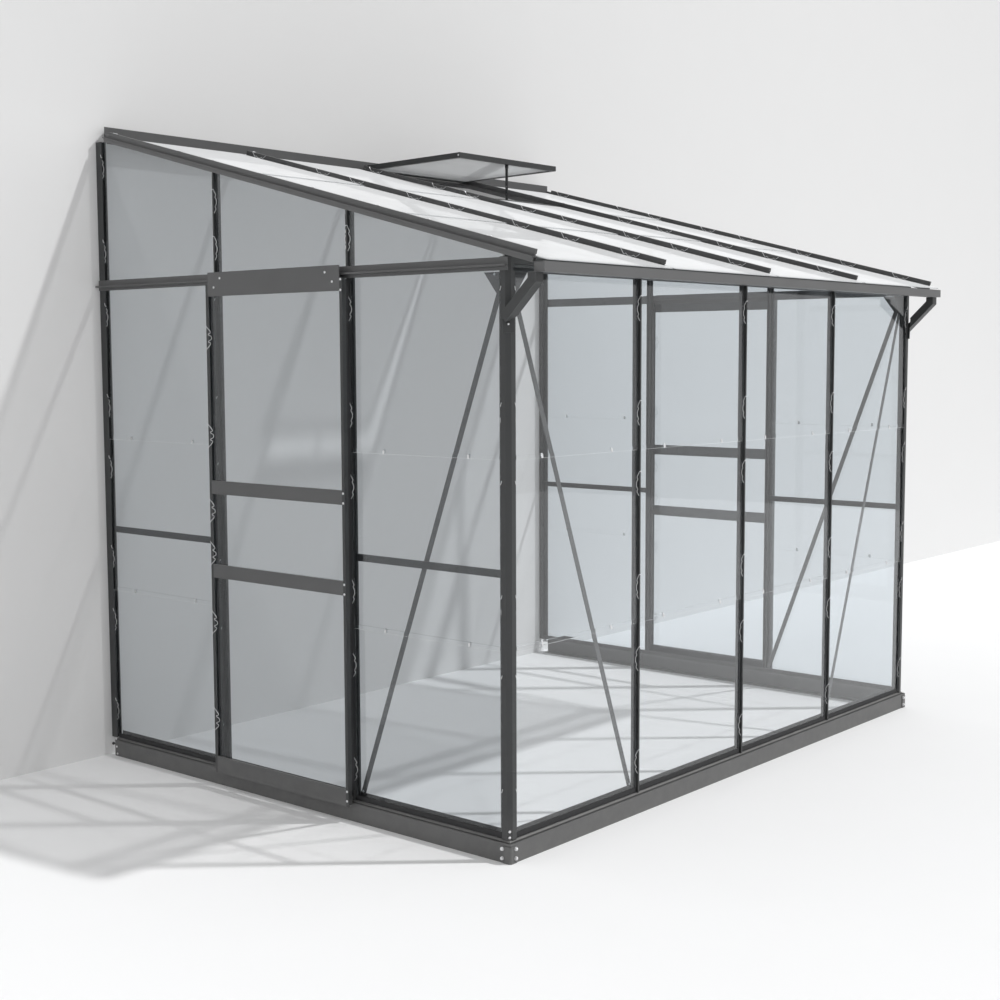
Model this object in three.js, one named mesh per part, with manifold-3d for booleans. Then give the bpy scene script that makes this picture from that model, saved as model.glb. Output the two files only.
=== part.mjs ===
// Lean-to greenhouse: powder-coated aluminium frame, clear glass, a sliding door in each gable
// and an opening vent in the roof. Millimetres, +Z up, the wall side at +Y, the front at -Y.
// The origin is the bottom centre of the whole object.

import * as THREE from 'three';
import { mergeVertices } from 'three/addons/utils/BufferGeometryUtils.js';
import Module from 'manifold-3d';

const wasm = await Module();
wasm.setup();

// Overall layout
const BAY_PITCH = 622;
const FRONT_BAYS = 4;
const GABLE_BAYS = 3;
const POST_INSET = 21;
const WALL_MARGIN = 14;
const BASE_SETBACK = 29;
const ROOF_HEIGHT = 1733;
const ROOF_SLOPE = THREE.MathUtils.degToRad(14.5);
const FIT = 0.3;
const OVERRUN = 40;
const WELD = 0.5;

// Base rail section
const BASE_WALL = 2.2;
const BASE_LIP_HEIGHT = 58;
const BASE_LIP_WALL = 1.8;
const BASE_GROOVE_FLOOR = 50;
const BASE_GROOVE_WIDTH = 6.2;
const BASE_GROOVE_WALL = 60;
const BASE_SEAT_HEIGHT = 64;
const BASE_SEAT_START = 12;
const BASE_HEIGHT = 86;
const BASE_FOOT_DEPTH = 40;
const WRAP_ARM = 27;
const WRAP_HEIGHT = 50;
const WRAP_WALL = 2.5;
const WRAP_RADIUS = 7;
const WRAP_STEPS = 4;

// Glazing bar section
const WING_HALF = 14;
const WING_WALL = 1.8;
const SEAL_HEIGHT = 1.4;
const SEAL_WIDTH = 2.6;
const FIN_HEIGHT = 13;
const FIN_HALF = 1;
const HEAD_HALF = 3;
const HEAD_WALL = 1.6;
const SLOT_HALF = 7.5;
const SLOT_DEPTH = 13;
const SLOT_WALL = 1.6;
const SLOT_MOUTH_HALF = 3.5;

// Corner and wall posts
const POST_PROUD = 12;
const POST_INNER = 10;
const POST_WALL = 2;
const POST_CHAMFER = 12;
const POST_FLANGE = 8;
const POST_FLANGE_WALL = 1.8;
const POST_WING = 18;
const WALL_POST_HALF = 10;

// Glass
const GLASS = 3;
const GLASS_LAP = 12;
const GLASS_EDGE_GAP = 6;
const GLASS_POST_GAP = 1;
const WALL_PANES = 3;
const ROOF_PANES = 3;
const VENT_BAY_PANES = 2;

// Eave beam and gutter
const BEAM_DROP = 39;
const BEAM_NOSE = 20;
const BEAM_DEPTH = 22;
const BEAM_WALL = 2;
const GUTTER_REACH = 118;
const GUTTER_WIDTH = 37;
const GUTTER_DROP = 66;
const GUTTER_DEPTH = 28.5;
const GUTTER_WALL = 2;
const GUTTER_LIP = 5;
const GUTTER_END_INSET = 10;
const EAVE_BACK = 21;
const DRIP_REACH = 38;

// Gutter bracket
const BRACKET_WIDTH = 34;
const BRACKET_DEPTH = 28;
const BRACKET_WALL = 2.5;
const BRACKET_FOOT_HEIGHT = 46;
const BRACKET_KINK_DROP = 27;
const BRACKET_FOOT_DROP = 162;
const BRACKET_BACK = 22;

// Ridge bar
const RIDGE_DEPTH = 40;
const RIDGE_WALL = 2.2;
const RIDGE_RISE = 37.1;
const RIDGE_HEIGHT = 52;
const RIDGE_END = 4;
const RIDGE_FIN_GAP = 22;

// Door track on each gable
const TRACK_DROP = 57;
const TRACK_HEIGHT = 36;
const TRACK_WALL = 2.2;
const TRACK_LEDGE_RISE = 13;
const TRACK_LEDGE_REACH = 14.5;
const TRACK_LIP_HEIGHT = 3.5;
const TRACK_LIP_WALL = 2;
const HEAD_SILL_WALL = 2;
const HEAD_SILL_CLEARANCE = 0.5;

// Mid bars and braces
const MID_BAR_BOTTOM = 816;
const MID_BAR_HEIGHT = 22;
const MID_BAR_DEPTH = 7.5;
const MID_BAR_WALL = 1.8;
const BRACE_WIDTH = 18;
const BRACE_WALL = 2;
const BRACE_TOP_DROP = 56;
const BRACE_TOP_IN = 38;
const BRACE_FOOT_RISE = 20;
const BRACE_FOOT_CLEARANCE = 4;
const GUSSET_WIDTH = 95;
const GUSSET_HEIGHT = 62;

// Sliding doors
const DOOR_OVERLAP = 9;
const DOOR_PROUD = 14;
const DOOR_THICKNESS = 16;
const DOOR_WALL = 2;
const STILE_FLANGE = 11;
const STILE_BOTTOM = 55;
const STILE_TOP_RISE = 1;
const RAIL_HEIGHT = 44;
const RAIL_DEPTH = 8.7;
const MID_RAIL_UPPER_Z = 991;
const MID_RAIL_LOWER_Z = 712;
const BOTTOM_RAIL_Z = 50;
const BOTTOM_RAIL_HEIGHT = 55;
const TOP_RAIL_DROP = 38;
const TOP_RAIL_HEIGHT = 77;
const DOOR_GLASS_BOTTOM = 64;
const DOOR_GLASS_DROP = 3;
const DOOR_GLASS_SIDE_GAP = 1;
const HOOK_LENGTH = 40;
const HOOK_START = 110;
const HOOK_CLEARANCE = 1.5;
const HOOK_LIFT = 2.3;
const HOOK_DIP = 2;
const ROLLER_RADIUS = 11;
const ROLLER_WIDTH = 9;
const ROLLER_IN = 68;
const ROLLER_HUB_RADIUS = 6;
const ROLLER_HUB_PROUD = 0.8;
const AXLE_RADIUS = 3;
const AXLE_CLEARANCE = 0.4;
const AXLE_COLLAR_RADIUS = 5;
const ROLLER_SIDE_GAP = 1.5;

// Roof vent, its sill and its stay
const VENT_BAY = 2;
const VENT_OPEN = THREE.MathUtils.degToRad(15.5);
const VENT_HINGE_IN = 29;
const VENT_HINGE_UP = 18;
const VENT_LENGTH = 516;
const VENT_HEAD = 6;
const VENT_SIDE_GAP = 7.5;
const VENT_RAIL = 14;
const VENT_RAIL_HEIGHT = 20;
const VENT_DROP = 13;
const VENT_LEDGE = 3;
const VENT_LEDGE_WALL = 2;
const VENT_GLASS_EDGE_GAP = 1;
const HINGE_PLATE = 2;
const HINGE_PLATE_GAP = 1.3;
const HINGE_PLATE_WIDTH = 22;
const HINGE_PLATE_RISE = 7;
const HINGE_PIN_RADIUS = 3;
const HINGE_CLEARANCE = 0.4;
const HINGE_PIN_REACH = 3;
const SILL_WIDTH = 24;
const SILL_NOSE = 10;
const SILL_DROP = 9;
const SILL_WALL = 2;
const SILL_GAP = 26;
const SILL_SHELF = 22;
const SILL_NOTCH_HALF = 6;
const VENT_FLAP_REACH = 46;
const VENT_FLAP_WALL = 2;
const STAY_WIDTH = 12;
const STAY_WALL = 3;
const STAY_DIP = 12;
const STAY_PIVOT_DROP = 21.5;
const STAY_HOLE_RADIUS = 2.9;
const STAY_PIN_RADIUS = 2.5;
const STAY_HOLES = 3;
const STAY_HOLE_PITCH = 30;
const CLEVIS_GAP = 0.4;
const CLEVIS_WALL = 2;
const CLEVIS_BASE_WALL = 2;

// Worked out from the layout
const FRONT_SPAN = FRONT_BAYS * BAY_PITCH;
const GABLE_SPAN = GABLE_BAYS * BAY_PITCH;
const WALL_LINE = GABLE_SPAN + WALL_MARGIN;
const AXIS_X = FRONT_SPAN / 2;
const DEPTH = WALL_LINE + POST_INSET + GUTTER_REACH;
const AXIS_Y = DEPTH / 2 - WALL_LINE;
const BAR_SLOT_BOTTOM = WING_WALL + SLOT_DEPTH;
const SLOPE_RISE = Math.tan(ROOF_SLOPE);
const SLOPE_COS = Math.cos(ROOF_SLOPE);
const SLOPE_SIN = Math.sin(ROOF_SLOPE);
const GLASS_INNER = SEAL_HEIGHT + FIT;
const RIDGE_WEB_LINE = WALL_LINE - RIDGE_DEPTH;
const PANE_BOTTOM = BASE_SEAT_HEIGHT + 2 * FIT;
const BEAM_NOSE_HEIGHT = ROOF_HEIGHT - BEAM_DROP;
const BEAM_BOTTOM = BEAM_NOSE_HEIGHT - BEAM_NOSE;
const PANE_RISE = (BEAM_NOSE_HEIGHT - FIT - PANE_BOTTOM) / WALL_PANES;
const TRACK_BACK = FIN_HEIGHT + FIT;
const TRACK_FACE = TRACK_BACK + TRACK_WALL;
const TRACK_LIP_OUTER = TRACK_FACE + TRACK_LEDGE_REACH;
const TRACK_BOTTOM = ROOF_HEIGHT - TRACK_DROP;
const TRACK_LEDGE_TOP = TRACK_BOTTOM + TRACK_LEDGE_RISE;
const GUTTER_BOTTOM = ROOF_HEIGHT - GUTTER_DROP;
const EAVE_REACH = GUTTER_REACH - EAVE_BACK;
const BRACKET_REACH = GUTTER_REACH - BRACKET_BACK;
const BRACKET_KINK_Z = GUTTER_BOTTOM - BRACKET_KINK_DROP;
const BRACKET_FOOT_Z = GUTTER_BOTTOM - BRACKET_FOOT_DROP;
const BRACE_TOP_Z = BEAM_BOTTOM - BRACE_TOP_DROP;
const BRACE_FOOT_Z = BASE_SEAT_HEIGHT + BRACE_FOOT_RISE;
const RIDGE_TOP = ROOF_HEIGHT + RIDGE_WEB_LINE * SLOPE_RISE + RIDGE_RISE;
const DOOR_WIDTH = BAY_PITCH + 2 * DOOR_OVERLAP;
const DOOR_FRONT = TRACK_LIP_OUTER + DOOR_PROUD;
const ROLLER_SPREAD = DOOR_WIDTH / 2 - ROLLER_IN;
const STILE_TOP = TRACK_BOTTOM + STILE_TOP_RISE;
const TOP_RAIL_Z = TRACK_BOTTOM - TOP_RAIL_DROP;
const DOOR_GLASS_TOP = STILE_TOP - DOOR_GLASS_DROP;
const VENT_HINGE_LINE = (RIDGE_WEB_LINE - VENT_HINGE_IN) / SLOPE_COS;
const SILL_UP_SLOPE = VENT_HINGE_LINE - VENT_LENGTH - SILL_GAP;

// Finishes
const coated = { color: 0x4a4b4d, roughness: 0.5, metalness: 0.35 };
const coatedDark = { color: 0x2f3031, roughness: 0.6, metalness: 0.3 };
const clear = { color: 0xcfdde2, roughness: 0.05, metalness: 0, transparent: true, opacity: 0.3 };
const nylon = { color: 0x1b1b1c, roughness: 0.6, metalness: 0 };

// Shapes and placing

function outline(points, holes = []) {
  const ring = points.map(([u, v]) => new THREE.Vector2(u, v));
  const shape = new THREE.Shape(THREE.ShapeUtils.isClockWise(ring) ? ring.reverse() : ring);
  for (const hole of holes) {
    shape.holes.push(new THREE.Path(hole.map(([u, v]) => new THREE.Vector2(u, v))));
  }
  return shape;
}

function rectangle(u0, v0, u1, v1) {
  return [[u0, v0], [u1, v0], [u1, v1], [u0, v1]];
}

function arc(centreU, centreV, radius, from, to, steps) {
  const points = [];
  for (let i = 0; i <= steps; i += 1) {
    const angle = from + (to - from) * i / steps;
    points.push([centreU + radius * Math.cos(angle), centreV + radius * Math.sin(angle)]);
  }
  return points;
}

// A section in x and y, carried up along z.
function upright(points, z0, z1, holes = []) {
  const geometry = new THREE.ExtrudeGeometry(outline(points, holes), { depth: z1 - z0, bevelEnabled: false });
  return geometry.translate(0, 0, z0);
}

// A section in y and z, carried along x.
function lengthwise(points, x0, x1, holes = []) {
  const low = Math.min(x0, x1);
  const depth = Math.abs(x1 - x0);
  const geometry = new THREE.ExtrudeGeometry(outline(points, holes), { depth, bevelEnabled: false });
  const turn = new THREE.Matrix4().makeBasis(
    new THREE.Vector3(0, 1, 0),
    new THREE.Vector3(0, 0, 1),
    new THREE.Vector3(1, 0, 0)
  );
  return geometry.applyMatrix4(turn).translate(low, 0, 0);
}

// A flat shape in x and z, its inner face at y = inner and its outer face thickness further out.
function upStanding(points, inner, thickness, holes = []) {
  const geometry = new THREE.ExtrudeGeometry(outline(points, holes), { depth: thickness, bevelEnabled: false });
  return geometry.rotateX(Math.PI / 2).translate(0, inner, 0);
}

// Ends slanted so that the piece gets shorter with the distance behind its face.
function mitred(geometry, face, middle, mitreLow, mitreHigh) {
  const position = geometry.attributes.position;
  for (let i = 0; i < position.count; i += 1) {
    const inward = position.getY(i) - face;
    const x = position.getX(i);
    if (x < middle && mitreLow) {
      position.setX(i, x + inward);
    }
    if (x > middle && mitreHigh) {
      position.setX(i, x - inward);
    }
  }
  return geometry;
}

function roundBar(radius, length, sides) {
  return new THREE.CylinderGeometry(radius, radius, length, sides);
}

function solidOf(geometry) {
  const plain = geometry.clone();
  plain.deleteAttribute('normal');
  plain.deleteAttribute('uv');
  const merged = mergeVertices(plain);
  return new wasm.Manifold(new wasm.Mesh({
    numProp: 3,
    vertProperties: new Float32Array(merged.attributes.position.array),
    triVerts: new Uint32Array(merged.index.array)
  }));
}

function geometryOf(solid) {
  const mesh = solid.getMesh();
  const geometry = new THREE.BufferGeometry();
  geometry.setAttribute('position', new THREE.BufferAttribute(mesh.vertProperties, 3));
  geometry.setIndex(new THREE.BufferAttribute(mesh.triVerts, 1));
  geometry.computeVertexNormals();
  return geometry;
}

function join(...geometries) {
  return geometryOf(geometries.map(solidOf).reduce((whole, piece) => whole.add(piece)));
}

function cut(geometry, ...tools) {
  return geometryOf(tools.map(solidOf).reduce((whole, tool) => whole.subtract(tool), solidOf(geometry)));
}

function place(parent, name, geometry, finish, position = [0, 0, 0], rotation = [0, 0, 0]) {
  const mesh = new THREE.Mesh(geometry, new THREE.MeshStandardMaterial(finish));
  mesh.name = name;
  mesh.position.set(...position);
  mesh.rotation.set(...rotation);
  parent.add(mesh);
  return mesh;
}

// Height of the underside of the rafters, a distance in from the front bars.
function rafterUnderside(inward) {
  return ROOF_HEIGHT - (BAR_SLOT_BOTTOM + FIT) / SLOPE_COS + inward * SLOPE_RISE;
}

// Sections

// Wings that the glass lies on, a fin with a head outside them and a bolt slot inside them.
function glazingBarSection() {
  const half = [
    [HEAD_HALF, -FIN_HEIGHT],
    [HEAD_HALF, -FIN_HEIGHT + HEAD_WALL],
    [FIN_HALF, -FIN_HEIGHT + HEAD_WALL],
    [FIN_HALF, 0],
    [WING_HALF - SEAL_WIDTH, 0],
    [WING_HALF - SEAL_WIDTH, -SEAL_HEIGHT],
    [WING_HALF, -SEAL_HEIGHT],
    [WING_HALF, WING_WALL],
    [SLOT_HALF, WING_WALL],
    [SLOT_HALF, BAR_SLOT_BOTTOM],
    [SLOT_MOUTH_HALF, BAR_SLOT_BOTTOM],
    [SLOT_MOUTH_HALF, BAR_SLOT_BOTTOM - SLOT_WALL],
    [SLOT_HALF - SLOT_WALL, BAR_SLOT_BOTTOM - SLOT_WALL],
    [SLOT_HALF - SLOT_WALL, WING_WALL]
  ];
  const other = half.map(([u, v]) => [-u, v]).reverse();
  return [...half, ...other];
}

// Square tube with a flattened outer edge, a flange over the glass and a wing under it, both ways.
function cornerPostSection(side) {
  const near = [
    [-POST_PROUD + POST_CHAMFER, -POST_PROUD],
    [POST_INNER + POST_FLANGE, -POST_PROUD],
    [POST_INNER + POST_FLANGE, -POST_PROUD + POST_FLANGE_WALL],
    [POST_INNER, -POST_PROUD + POST_FLANGE_WALL],
    [POST_INNER, 0],
    [POST_INNER + POST_WING - SEAL_WIDTH, 0],
    [POST_INNER + POST_WING - SEAL_WIDTH, -SEAL_HEIGHT],
    [POST_INNER + POST_WING, -SEAL_HEIGHT],
    [POST_INNER + POST_WING, WING_WALL],
    [POST_INNER, WING_WALL],
    [POST_INNER, POST_INNER]
  ];
  const far = near.slice(0, -1).map(([u, v]) => [v, u]).reverse();
  return [...near, ...far].map(([u, v]) => [side * u, v]);
}

function cornerPostBore(side) {
  const low = -POST_PROUD + POST_WALL;
  const high = POST_INNER - POST_WALL;
  const bevel = low + POST_CHAMFER - POST_WALL;
  return [[bevel, low], [high, low], [high, high], [low, high], [low, bevel]].map(([u, v]) => [side * u, v]);
}

function wallPostSection(side) {
  const inner = GABLE_SPAN - WALL_POST_HALF;
  return [
    [WALL_LINE, -POST_PROUD],
    [WALL_LINE, POST_INNER],
    [inner, POST_INNER],
    [inner, WING_WALL],
    [inner - POST_WING, WING_WALL],
    [inner - POST_WING, -SEAL_HEIGHT],
    [inner - POST_WING + SEAL_WIDTH, -SEAL_HEIGHT],
    [inner - POST_WING + SEAL_WIDTH, 0],
    [inner, 0],
    [inner, -POST_PROUD + POST_FLANGE_WALL],
    [inner - POST_FLANGE, -POST_PROUD + POST_FLANGE_WALL],
    [inner - POST_FLANGE, -POST_PROUD]
  ].map(([u, v]) => [side * u, v]);
}

function wallPostBore(side) {
  const inner = GABLE_SPAN - WALL_POST_HALF;
  const across = [inner + POST_WALL, WALL_LINE - POST_WALL];
  return rectangle(across[0], -POST_PROUD + POST_WALL, across[1], POST_INNER - POST_WALL)
    .map(([u, v]) => [side * u, v]);
}

// Outer face, guide groove for the doors' hooks, seat for the bars and an upstand behind them.
function baseSection() {
  const grooveEnd = BASE_LIP_WALL + BASE_GROOVE_WIDTH;
  const upstandOuter = POST_INSET + BAR_SLOT_BOTTOM + WELD;
  const upstandInner = upstandOuter + BASE_WALL;
  return [
    [0, 0],
    [0, BASE_LIP_HEIGHT],
    [BASE_LIP_WALL, BASE_LIP_HEIGHT],
    [BASE_LIP_WALL, BASE_GROOVE_FLOOR],
    [grooveEnd, BASE_GROOVE_FLOOR],
    [grooveEnd, BASE_GROOVE_WALL],
    [BASE_SEAT_START, BASE_SEAT_HEIGHT],
    [upstandOuter, BASE_SEAT_HEIGHT],
    [upstandOuter, BASE_HEIGHT],
    [upstandInner, BASE_HEIGHT],
    [upstandInner, BASE_SEAT_HEIGHT - BASE_WALL],
    [BASE_SEAT_START + BASE_WALL, BASE_SEAT_HEIGHT - BASE_WALL],
    [grooveEnd + BASE_WALL, BASE_GROOVE_WALL - BASE_WALL],
    [grooveEnd + BASE_WALL, BASE_GROOVE_FLOOR - BASE_WALL],
    [BASE_WALL, BASE_GROOVE_FLOOR - BASE_WALL],
    [BASE_WALL, BASE_WALL],
    [BASE_FOOT_DEPTH, BASE_WALL],
    [BASE_FOOT_DEPTH, 0]
  ].map(([inward, z]) => [inward - POST_INSET, z]);
}

// Base

// A base rail whose ends may be cut to a mitre, where it meets the next rail.
function baseRail(x0, x1, mitreLow, mitreHigh) {
  return mitred(lengthwise(baseSection(), x0, x1), -POST_INSET - FIT, (x0 + x1) / 2, mitreLow, mitreHigh);
}

// A rounded plate bolted round the outside of a base corner.
function cornerWrap(side) {
  const face = -POST_INSET;
  const arm = face + WRAP_ARM;
  const outerX = face - FIT - WRAP_WALL;
  const outerY = face - WRAP_WALL;
  const outer = [
    [arm, outerY],
    ...arc(outerX + WRAP_RADIUS, outerY + WRAP_RADIUS, WRAP_RADIUS, -Math.PI / 2, -Math.PI, WRAP_STEPS),
    [outerX, arm],
    [face - FIT, arm],
    [face - FIT, face],
    [face + 2 * WELD, face],
    [face + 2 * WELD, face + WELD],
    [arm, face + WELD]
  ];
  return upright(outer.map(([u, v]) => [side * u, v]), 0, WRAP_HEIGHT);
}

function addBase(front, gables) {
  const long = baseRail(-POST_INSET, FRONT_SPAN + POST_INSET, true, true);
  const leftWrap = cornerWrap(1);
  const rightWrap = cornerWrap(-1).translate(FRONT_SPAN, 0, 0);
  place(front, 'base_front', join(long, leftWrap, rightWrap), coated);
  const end = WALL_LINE - BASE_SETBACK;
  for (const { group, side, name } of gables) {
    const rail = side > 0 ? baseRail(-POST_INSET, end, true, false) : baseRail(-end, POST_INSET, false, true);
    place(group, `base_${name}`, rail, coated);
  }
}

// Upright bars and posts

function addFrontBars(front) {
  for (let k = 1; k < FRONT_BAYS; k += 1) {
    const bar = upright(glazingBarSection(), BASE_SEAT_HEIGHT + FIT, BEAM_BOTTOM - FIT);
    place(front, `front_bar_${k}`, bar, coatedDark, [k * BAY_PITCH, 0, 0]);
  }
}

// Everything above the underside of the end rafter and the ridge bar, in a gable's own frame.
function roofCutter(side, start, end) {
  const high = RIDGE_TOP + OVERRUN;
  const ridgeStart = RIDGE_WEB_LINE - FIT;
  const points = [[start, rafterUnderside(start)]];
  if (end > ridgeStart) {
    const under = RIDGE_TOP - RIDGE_HEIGHT - FIT;
    points.push([ridgeStart, rafterUnderside(ridgeStart)], [ridgeStart, under], [end, under]);
  } else {
    points.push([end, rafterUnderside(end)]);
  }
  points.push([end, high], [start, high]);
  return upStanding(points.map(([u, v]) => [side * u, v]), OVERRUN, 2 * OVERRUN);
}

// The room the eave beam takes beside a corner post.
function beamCutter(side) {
  const room = rectangle(POST_INNER, -POST_PROUD - OVERRUN, POST_INNER + OVERRUN, POST_INNER);
  return upright(room.map(([u, v]) => [side * u, v]), BEAM_BOTTOM - FIT, BEAM_BOTTOM + 2 * OVERRUN);
}

function addGableBars({ group, side, name }) {
  for (let k = 1; k < GABLE_BAYS; k += 1) {
    const along = k * BAY_PITCH;
    const bar = upright(glazingBarSection(), BASE_SEAT_HEIGHT + FIT, RIDGE_TOP).translate(side * along, 0, 0);
    const trimmed = cut(bar, roofCutter(side, along - OVERRUN, along + OVERRUN));
    place(group, `${name}_bar_${k}`, trimmed, coatedDark);
  }
}

function addPosts(front, gables) {
  const top = rafterUnderside(-POST_PROUD) - FIT;
  for (const { group, side, name } of gables) {
    const corner = upright(cornerPostSection(-side), BASE_SEAT_HEIGHT + FIT, top, [cornerPostBore(-side)]);
    const x = side > 0 ? FRONT_SPAN : 0;
    place(front, `corner_post_${name}`, cut(corner, beamCutter(-side)), coated, [x, 0, 0]);
    const post = upright(wallPostSection(side), BASE_SEAT_HEIGHT + FIT, RIDGE_TOP, [wallPostBore(side)]);
    const trimmed = cut(post, roofCutter(side, GABLE_SPAN - 2 * OVERRUN, WALL_LINE + OVERRUN));
    place(group, `wall_post_${name}`, trimmed, coated);
  }
}

// Eave beam, gutter and ridge bar

function addEaveBeam(front) {
  const top = (y) => rafterUnderside(y) - FIT;
  const section = [
    [0, BEAM_BOTTOM],
    [BEAM_DEPTH, BEAM_BOTTOM],
    [BEAM_DEPTH, top(BEAM_DEPTH)],
    [-POST_PROUD, top(-POST_PROUD)],
    [-POST_PROUD, BEAM_NOSE_HEIGHT],
    [0, BEAM_NOSE_HEIGHT]
  ];
  const bore = [
    [BEAM_WALL, BEAM_BOTTOM + BEAM_WALL],
    [BEAM_DEPTH - BEAM_WALL, BEAM_BOTTOM + BEAM_WALL],
    [BEAM_DEPTH - BEAM_WALL, top(BEAM_DEPTH) - 2 * BEAM_WALL],
    [BEAM_WALL, top(BEAM_WALL) - 2 * BEAM_WALL]
  ];
  const start = POST_INNER + FIT;
  place(front, 'eave_beam', lengthwise(section, start, FRONT_SPAN - start, [bore]), coatedDark);
}

function gutterSection() {
  const face = -POST_INSET - GUTTER_REACH;
  const back = face + GUTTER_WIDTH;
  const top = GUTTER_BOTTOM + GUTTER_DEPTH;
  return [
    [face, GUTTER_BOTTOM],
    [face, top],
    [face + GUTTER_LIP, top],
    [face + GUTTER_LIP, top - GUTTER_WALL],
    [face + GUTTER_WALL, top - GUTTER_WALL],
    [face + GUTTER_WALL, GUTTER_BOTTOM + GUTTER_WALL],
    [back - GUTTER_WALL, GUTTER_BOTTOM + GUTTER_WALL],
    [back - GUTTER_WALL, top],
    [back, top],
    [back, GUTTER_BOTTOM]
  ];
}

// A strip of even width along a bent line in y and z, on the inner side of that line.
function bentStrip(line, width) {
  const normals = [];
  for (let i = 0; i + 1 < line.length; i += 1) {
    const dy = line[i + 1][0] - line[i][0];
    const dz = line[i + 1][1] - line[i][1];
    const length = Math.hypot(dy, dz);
    normals.push([dz / length, -dy / length]);
  }
  const inner = line.map(([y, z], i) => {
    const before = normals[Math.max(i - 1, 0)];
    const after = normals[Math.min(i, normals.length - 1)];
    const sum = [before[0] + after[0], before[1] + after[1]];
    const scale = 2 * width / (sum[0] * sum[0] + sum[1] * sum[1]);
    return [y + sum[0] * scale, z + sum[1] * scale];
  });
  return [...line, ...inner.reverse()];
}

// Folded steel bracket: a foot on the post's flattened edge and a channel that carries the gutter.
function gutterBracket(side) {
  const heel = -POST_PROUD / 2 - BRACKET_WALL;
  const reach = -POST_INSET - BRACKET_REACH;
  const footTop = BRACKET_FOOT_Z + BRACKET_FOOT_HEIGHT;
  const line = [
    [heel, footTop - BRACKET_WIDTH / 2],
    [reach, BRACKET_KINK_Z],
    [reach, GUTTER_BOTTOM + WELD]
  ];
  const centre = -POST_PROUD / 2;
  const low = centre - BRACKET_WIDTH / 2;
  const high = centre + BRACKET_WIDTH / 2;
  const web = lengthwise(bentStrip(line, BRACKET_WALL), side * low, side * high);
  const cheek = bentStrip(line, BRACKET_DEPTH);
  const outer = lengthwise(cheek, side * low, side * (low + BRACKET_WALL));
  const inner = lengthwise(cheek, side * (high - BRACKET_WALL), side * high);
  const post = upright(rectangle(-POST_PROUD, -POST_PROUD, POST_INNER + WRAP_ARM, POST_INNER + WRAP_ARM)
    .map(([u, v]) => [side * u, v]), BRACKET_FOOT_Z - OVERRUN, BRACKET_KINK_Z);
  const chamfer = new THREE.BoxGeometry(4 * OVERRUN, 4 * OVERRUN, 4 * OVERRUN)
    .translate(0, 2 * OVERRUN - POST_CHAMFER * Math.SQRT1_2 - FIT - BRACKET_WALL / 2, 0)
    .rotateZ(-side * Math.PI / 4)
    .translate(0, 0, BRACKET_FOOT_Z);
  const channel = cut(join(web, outer, inner), post, chamfer);
  const foot = new THREE.BoxGeometry(BRACKET_WIDTH, BRACKET_WALL, BRACKET_FOOT_HEIGHT)
    .translate(0, -POST_CHAMFER * Math.SQRT1_2 - FIT - BRACKET_WALL / 2, 0)
    .rotateZ(-side * Math.PI / 4)
    .translate(0, 0, BRACKET_FOOT_Z + BRACKET_FOOT_HEIGHT / 2);
  return join(channel, foot);
}

function addGutter(front) {
  const start = GUTTER_END_INSET - POST_INSET;
  const end = FRONT_SPAN - start;
  const trough = lengthwise(gutterSection(), start, end);
  const face = -POST_INSET - GUTTER_REACH;
  const top = GUTTER_BOTTOM + GUTTER_DEPTH;
  const bite = GUTTER_WALL / 2;
  const cap = rectangle(face + bite, GUTTER_BOTTOM + bite, face + GUTTER_WIDTH - bite, top - bite);
  const leftCap = lengthwise(cap, start + bite, start + bite + GUTTER_WALL);
  const rightCap = lengthwise(cap, end - bite - GUTTER_WALL, end - bite);
  const left = gutterBracket(1);
  const right = gutterBracket(-1).translate(FRONT_SPAN, 0, 0);
  place(front, 'gutter', join(trough, leftCap, rightCap, left, right), coated);
}

function addRidgeBar(front) {
  const web = RIDGE_WEB_LINE;
  const bottom = RIDGE_TOP - RIDGE_HEIGHT;
  const section = [
    [web, RIDGE_TOP],
    [WALL_LINE, RIDGE_TOP],
    [WALL_LINE, bottom],
    [WALL_LINE - RIDGE_WALL, bottom],
    [WALL_LINE - RIDGE_WALL, RIDGE_TOP - RIDGE_WALL],
    [web + RIDGE_WALL, RIDGE_TOP - RIDGE_WALL],
    [web + RIDGE_WALL, bottom],
    [web, bottom]
  ];
  const straight = lengthwise(section, -RIDGE_END, FRONT_SPAN + RIDGE_END);
  const channel = mitred(straight, web, AXIS_X, true, true);
  const flapZ = ROOF_HEIGHT + web * SLOPE_RISE;
  const flap = [
    [web + WELD, flapZ + WELD * SLOPE_RISE],
    [web + WELD, flapZ - VENT_FLAP_WALL],
    [web - VENT_FLAP_REACH, flapZ - VENT_FLAP_WALL - VENT_FLAP_REACH * SLOPE_RISE],
    [web - VENT_FLAP_REACH, flapZ - VENT_FLAP_REACH * SLOPE_RISE]
  ];
  const bay = VENT_BAY * BAY_PITCH;
  const plate = lengthwise(flap, bay + WING_HALF + FIT, bay + BAY_PITCH - WING_HALF - FIT);
  place(front, 'ridge_bar', join(channel, plate), coated);
}

// Rafters and roof glass, in the roof's own frame: y runs up the slope and z stands out of it

// Everything behind the ridge bar's front web, which is upright while the roof is not.
function plumbCutter() {
  const at = (z) => (RIDGE_WEB_LINE - FIT + z * SLOPE_SIN) / SLOPE_COS;
  const points = [
    [at(-OVERRUN), -OVERRUN],
    [at(-OVERRUN) + 2 * OVERRUN, -OVERRUN],
    [at(OVERRUN) + 2 * OVERRUN, OVERRUN],
    [at(OVERRUN), OVERRUN]
  ];
  return lengthwise(points, -OVERRUN, OVERRUN);
}

// The end of an inner rafter's fin, which stops short of the ridge bar.
function finCutter() {
  const start = (RIDGE_WEB_LINE - RIDGE_FIN_GAP) / SLOPE_COS;
  return lengthwise(rectangle(start, SEAL_HEIGHT, start + 2 * OVERRUN, OVERRUN), -OVERRUN, OVERRUN);
}

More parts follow.
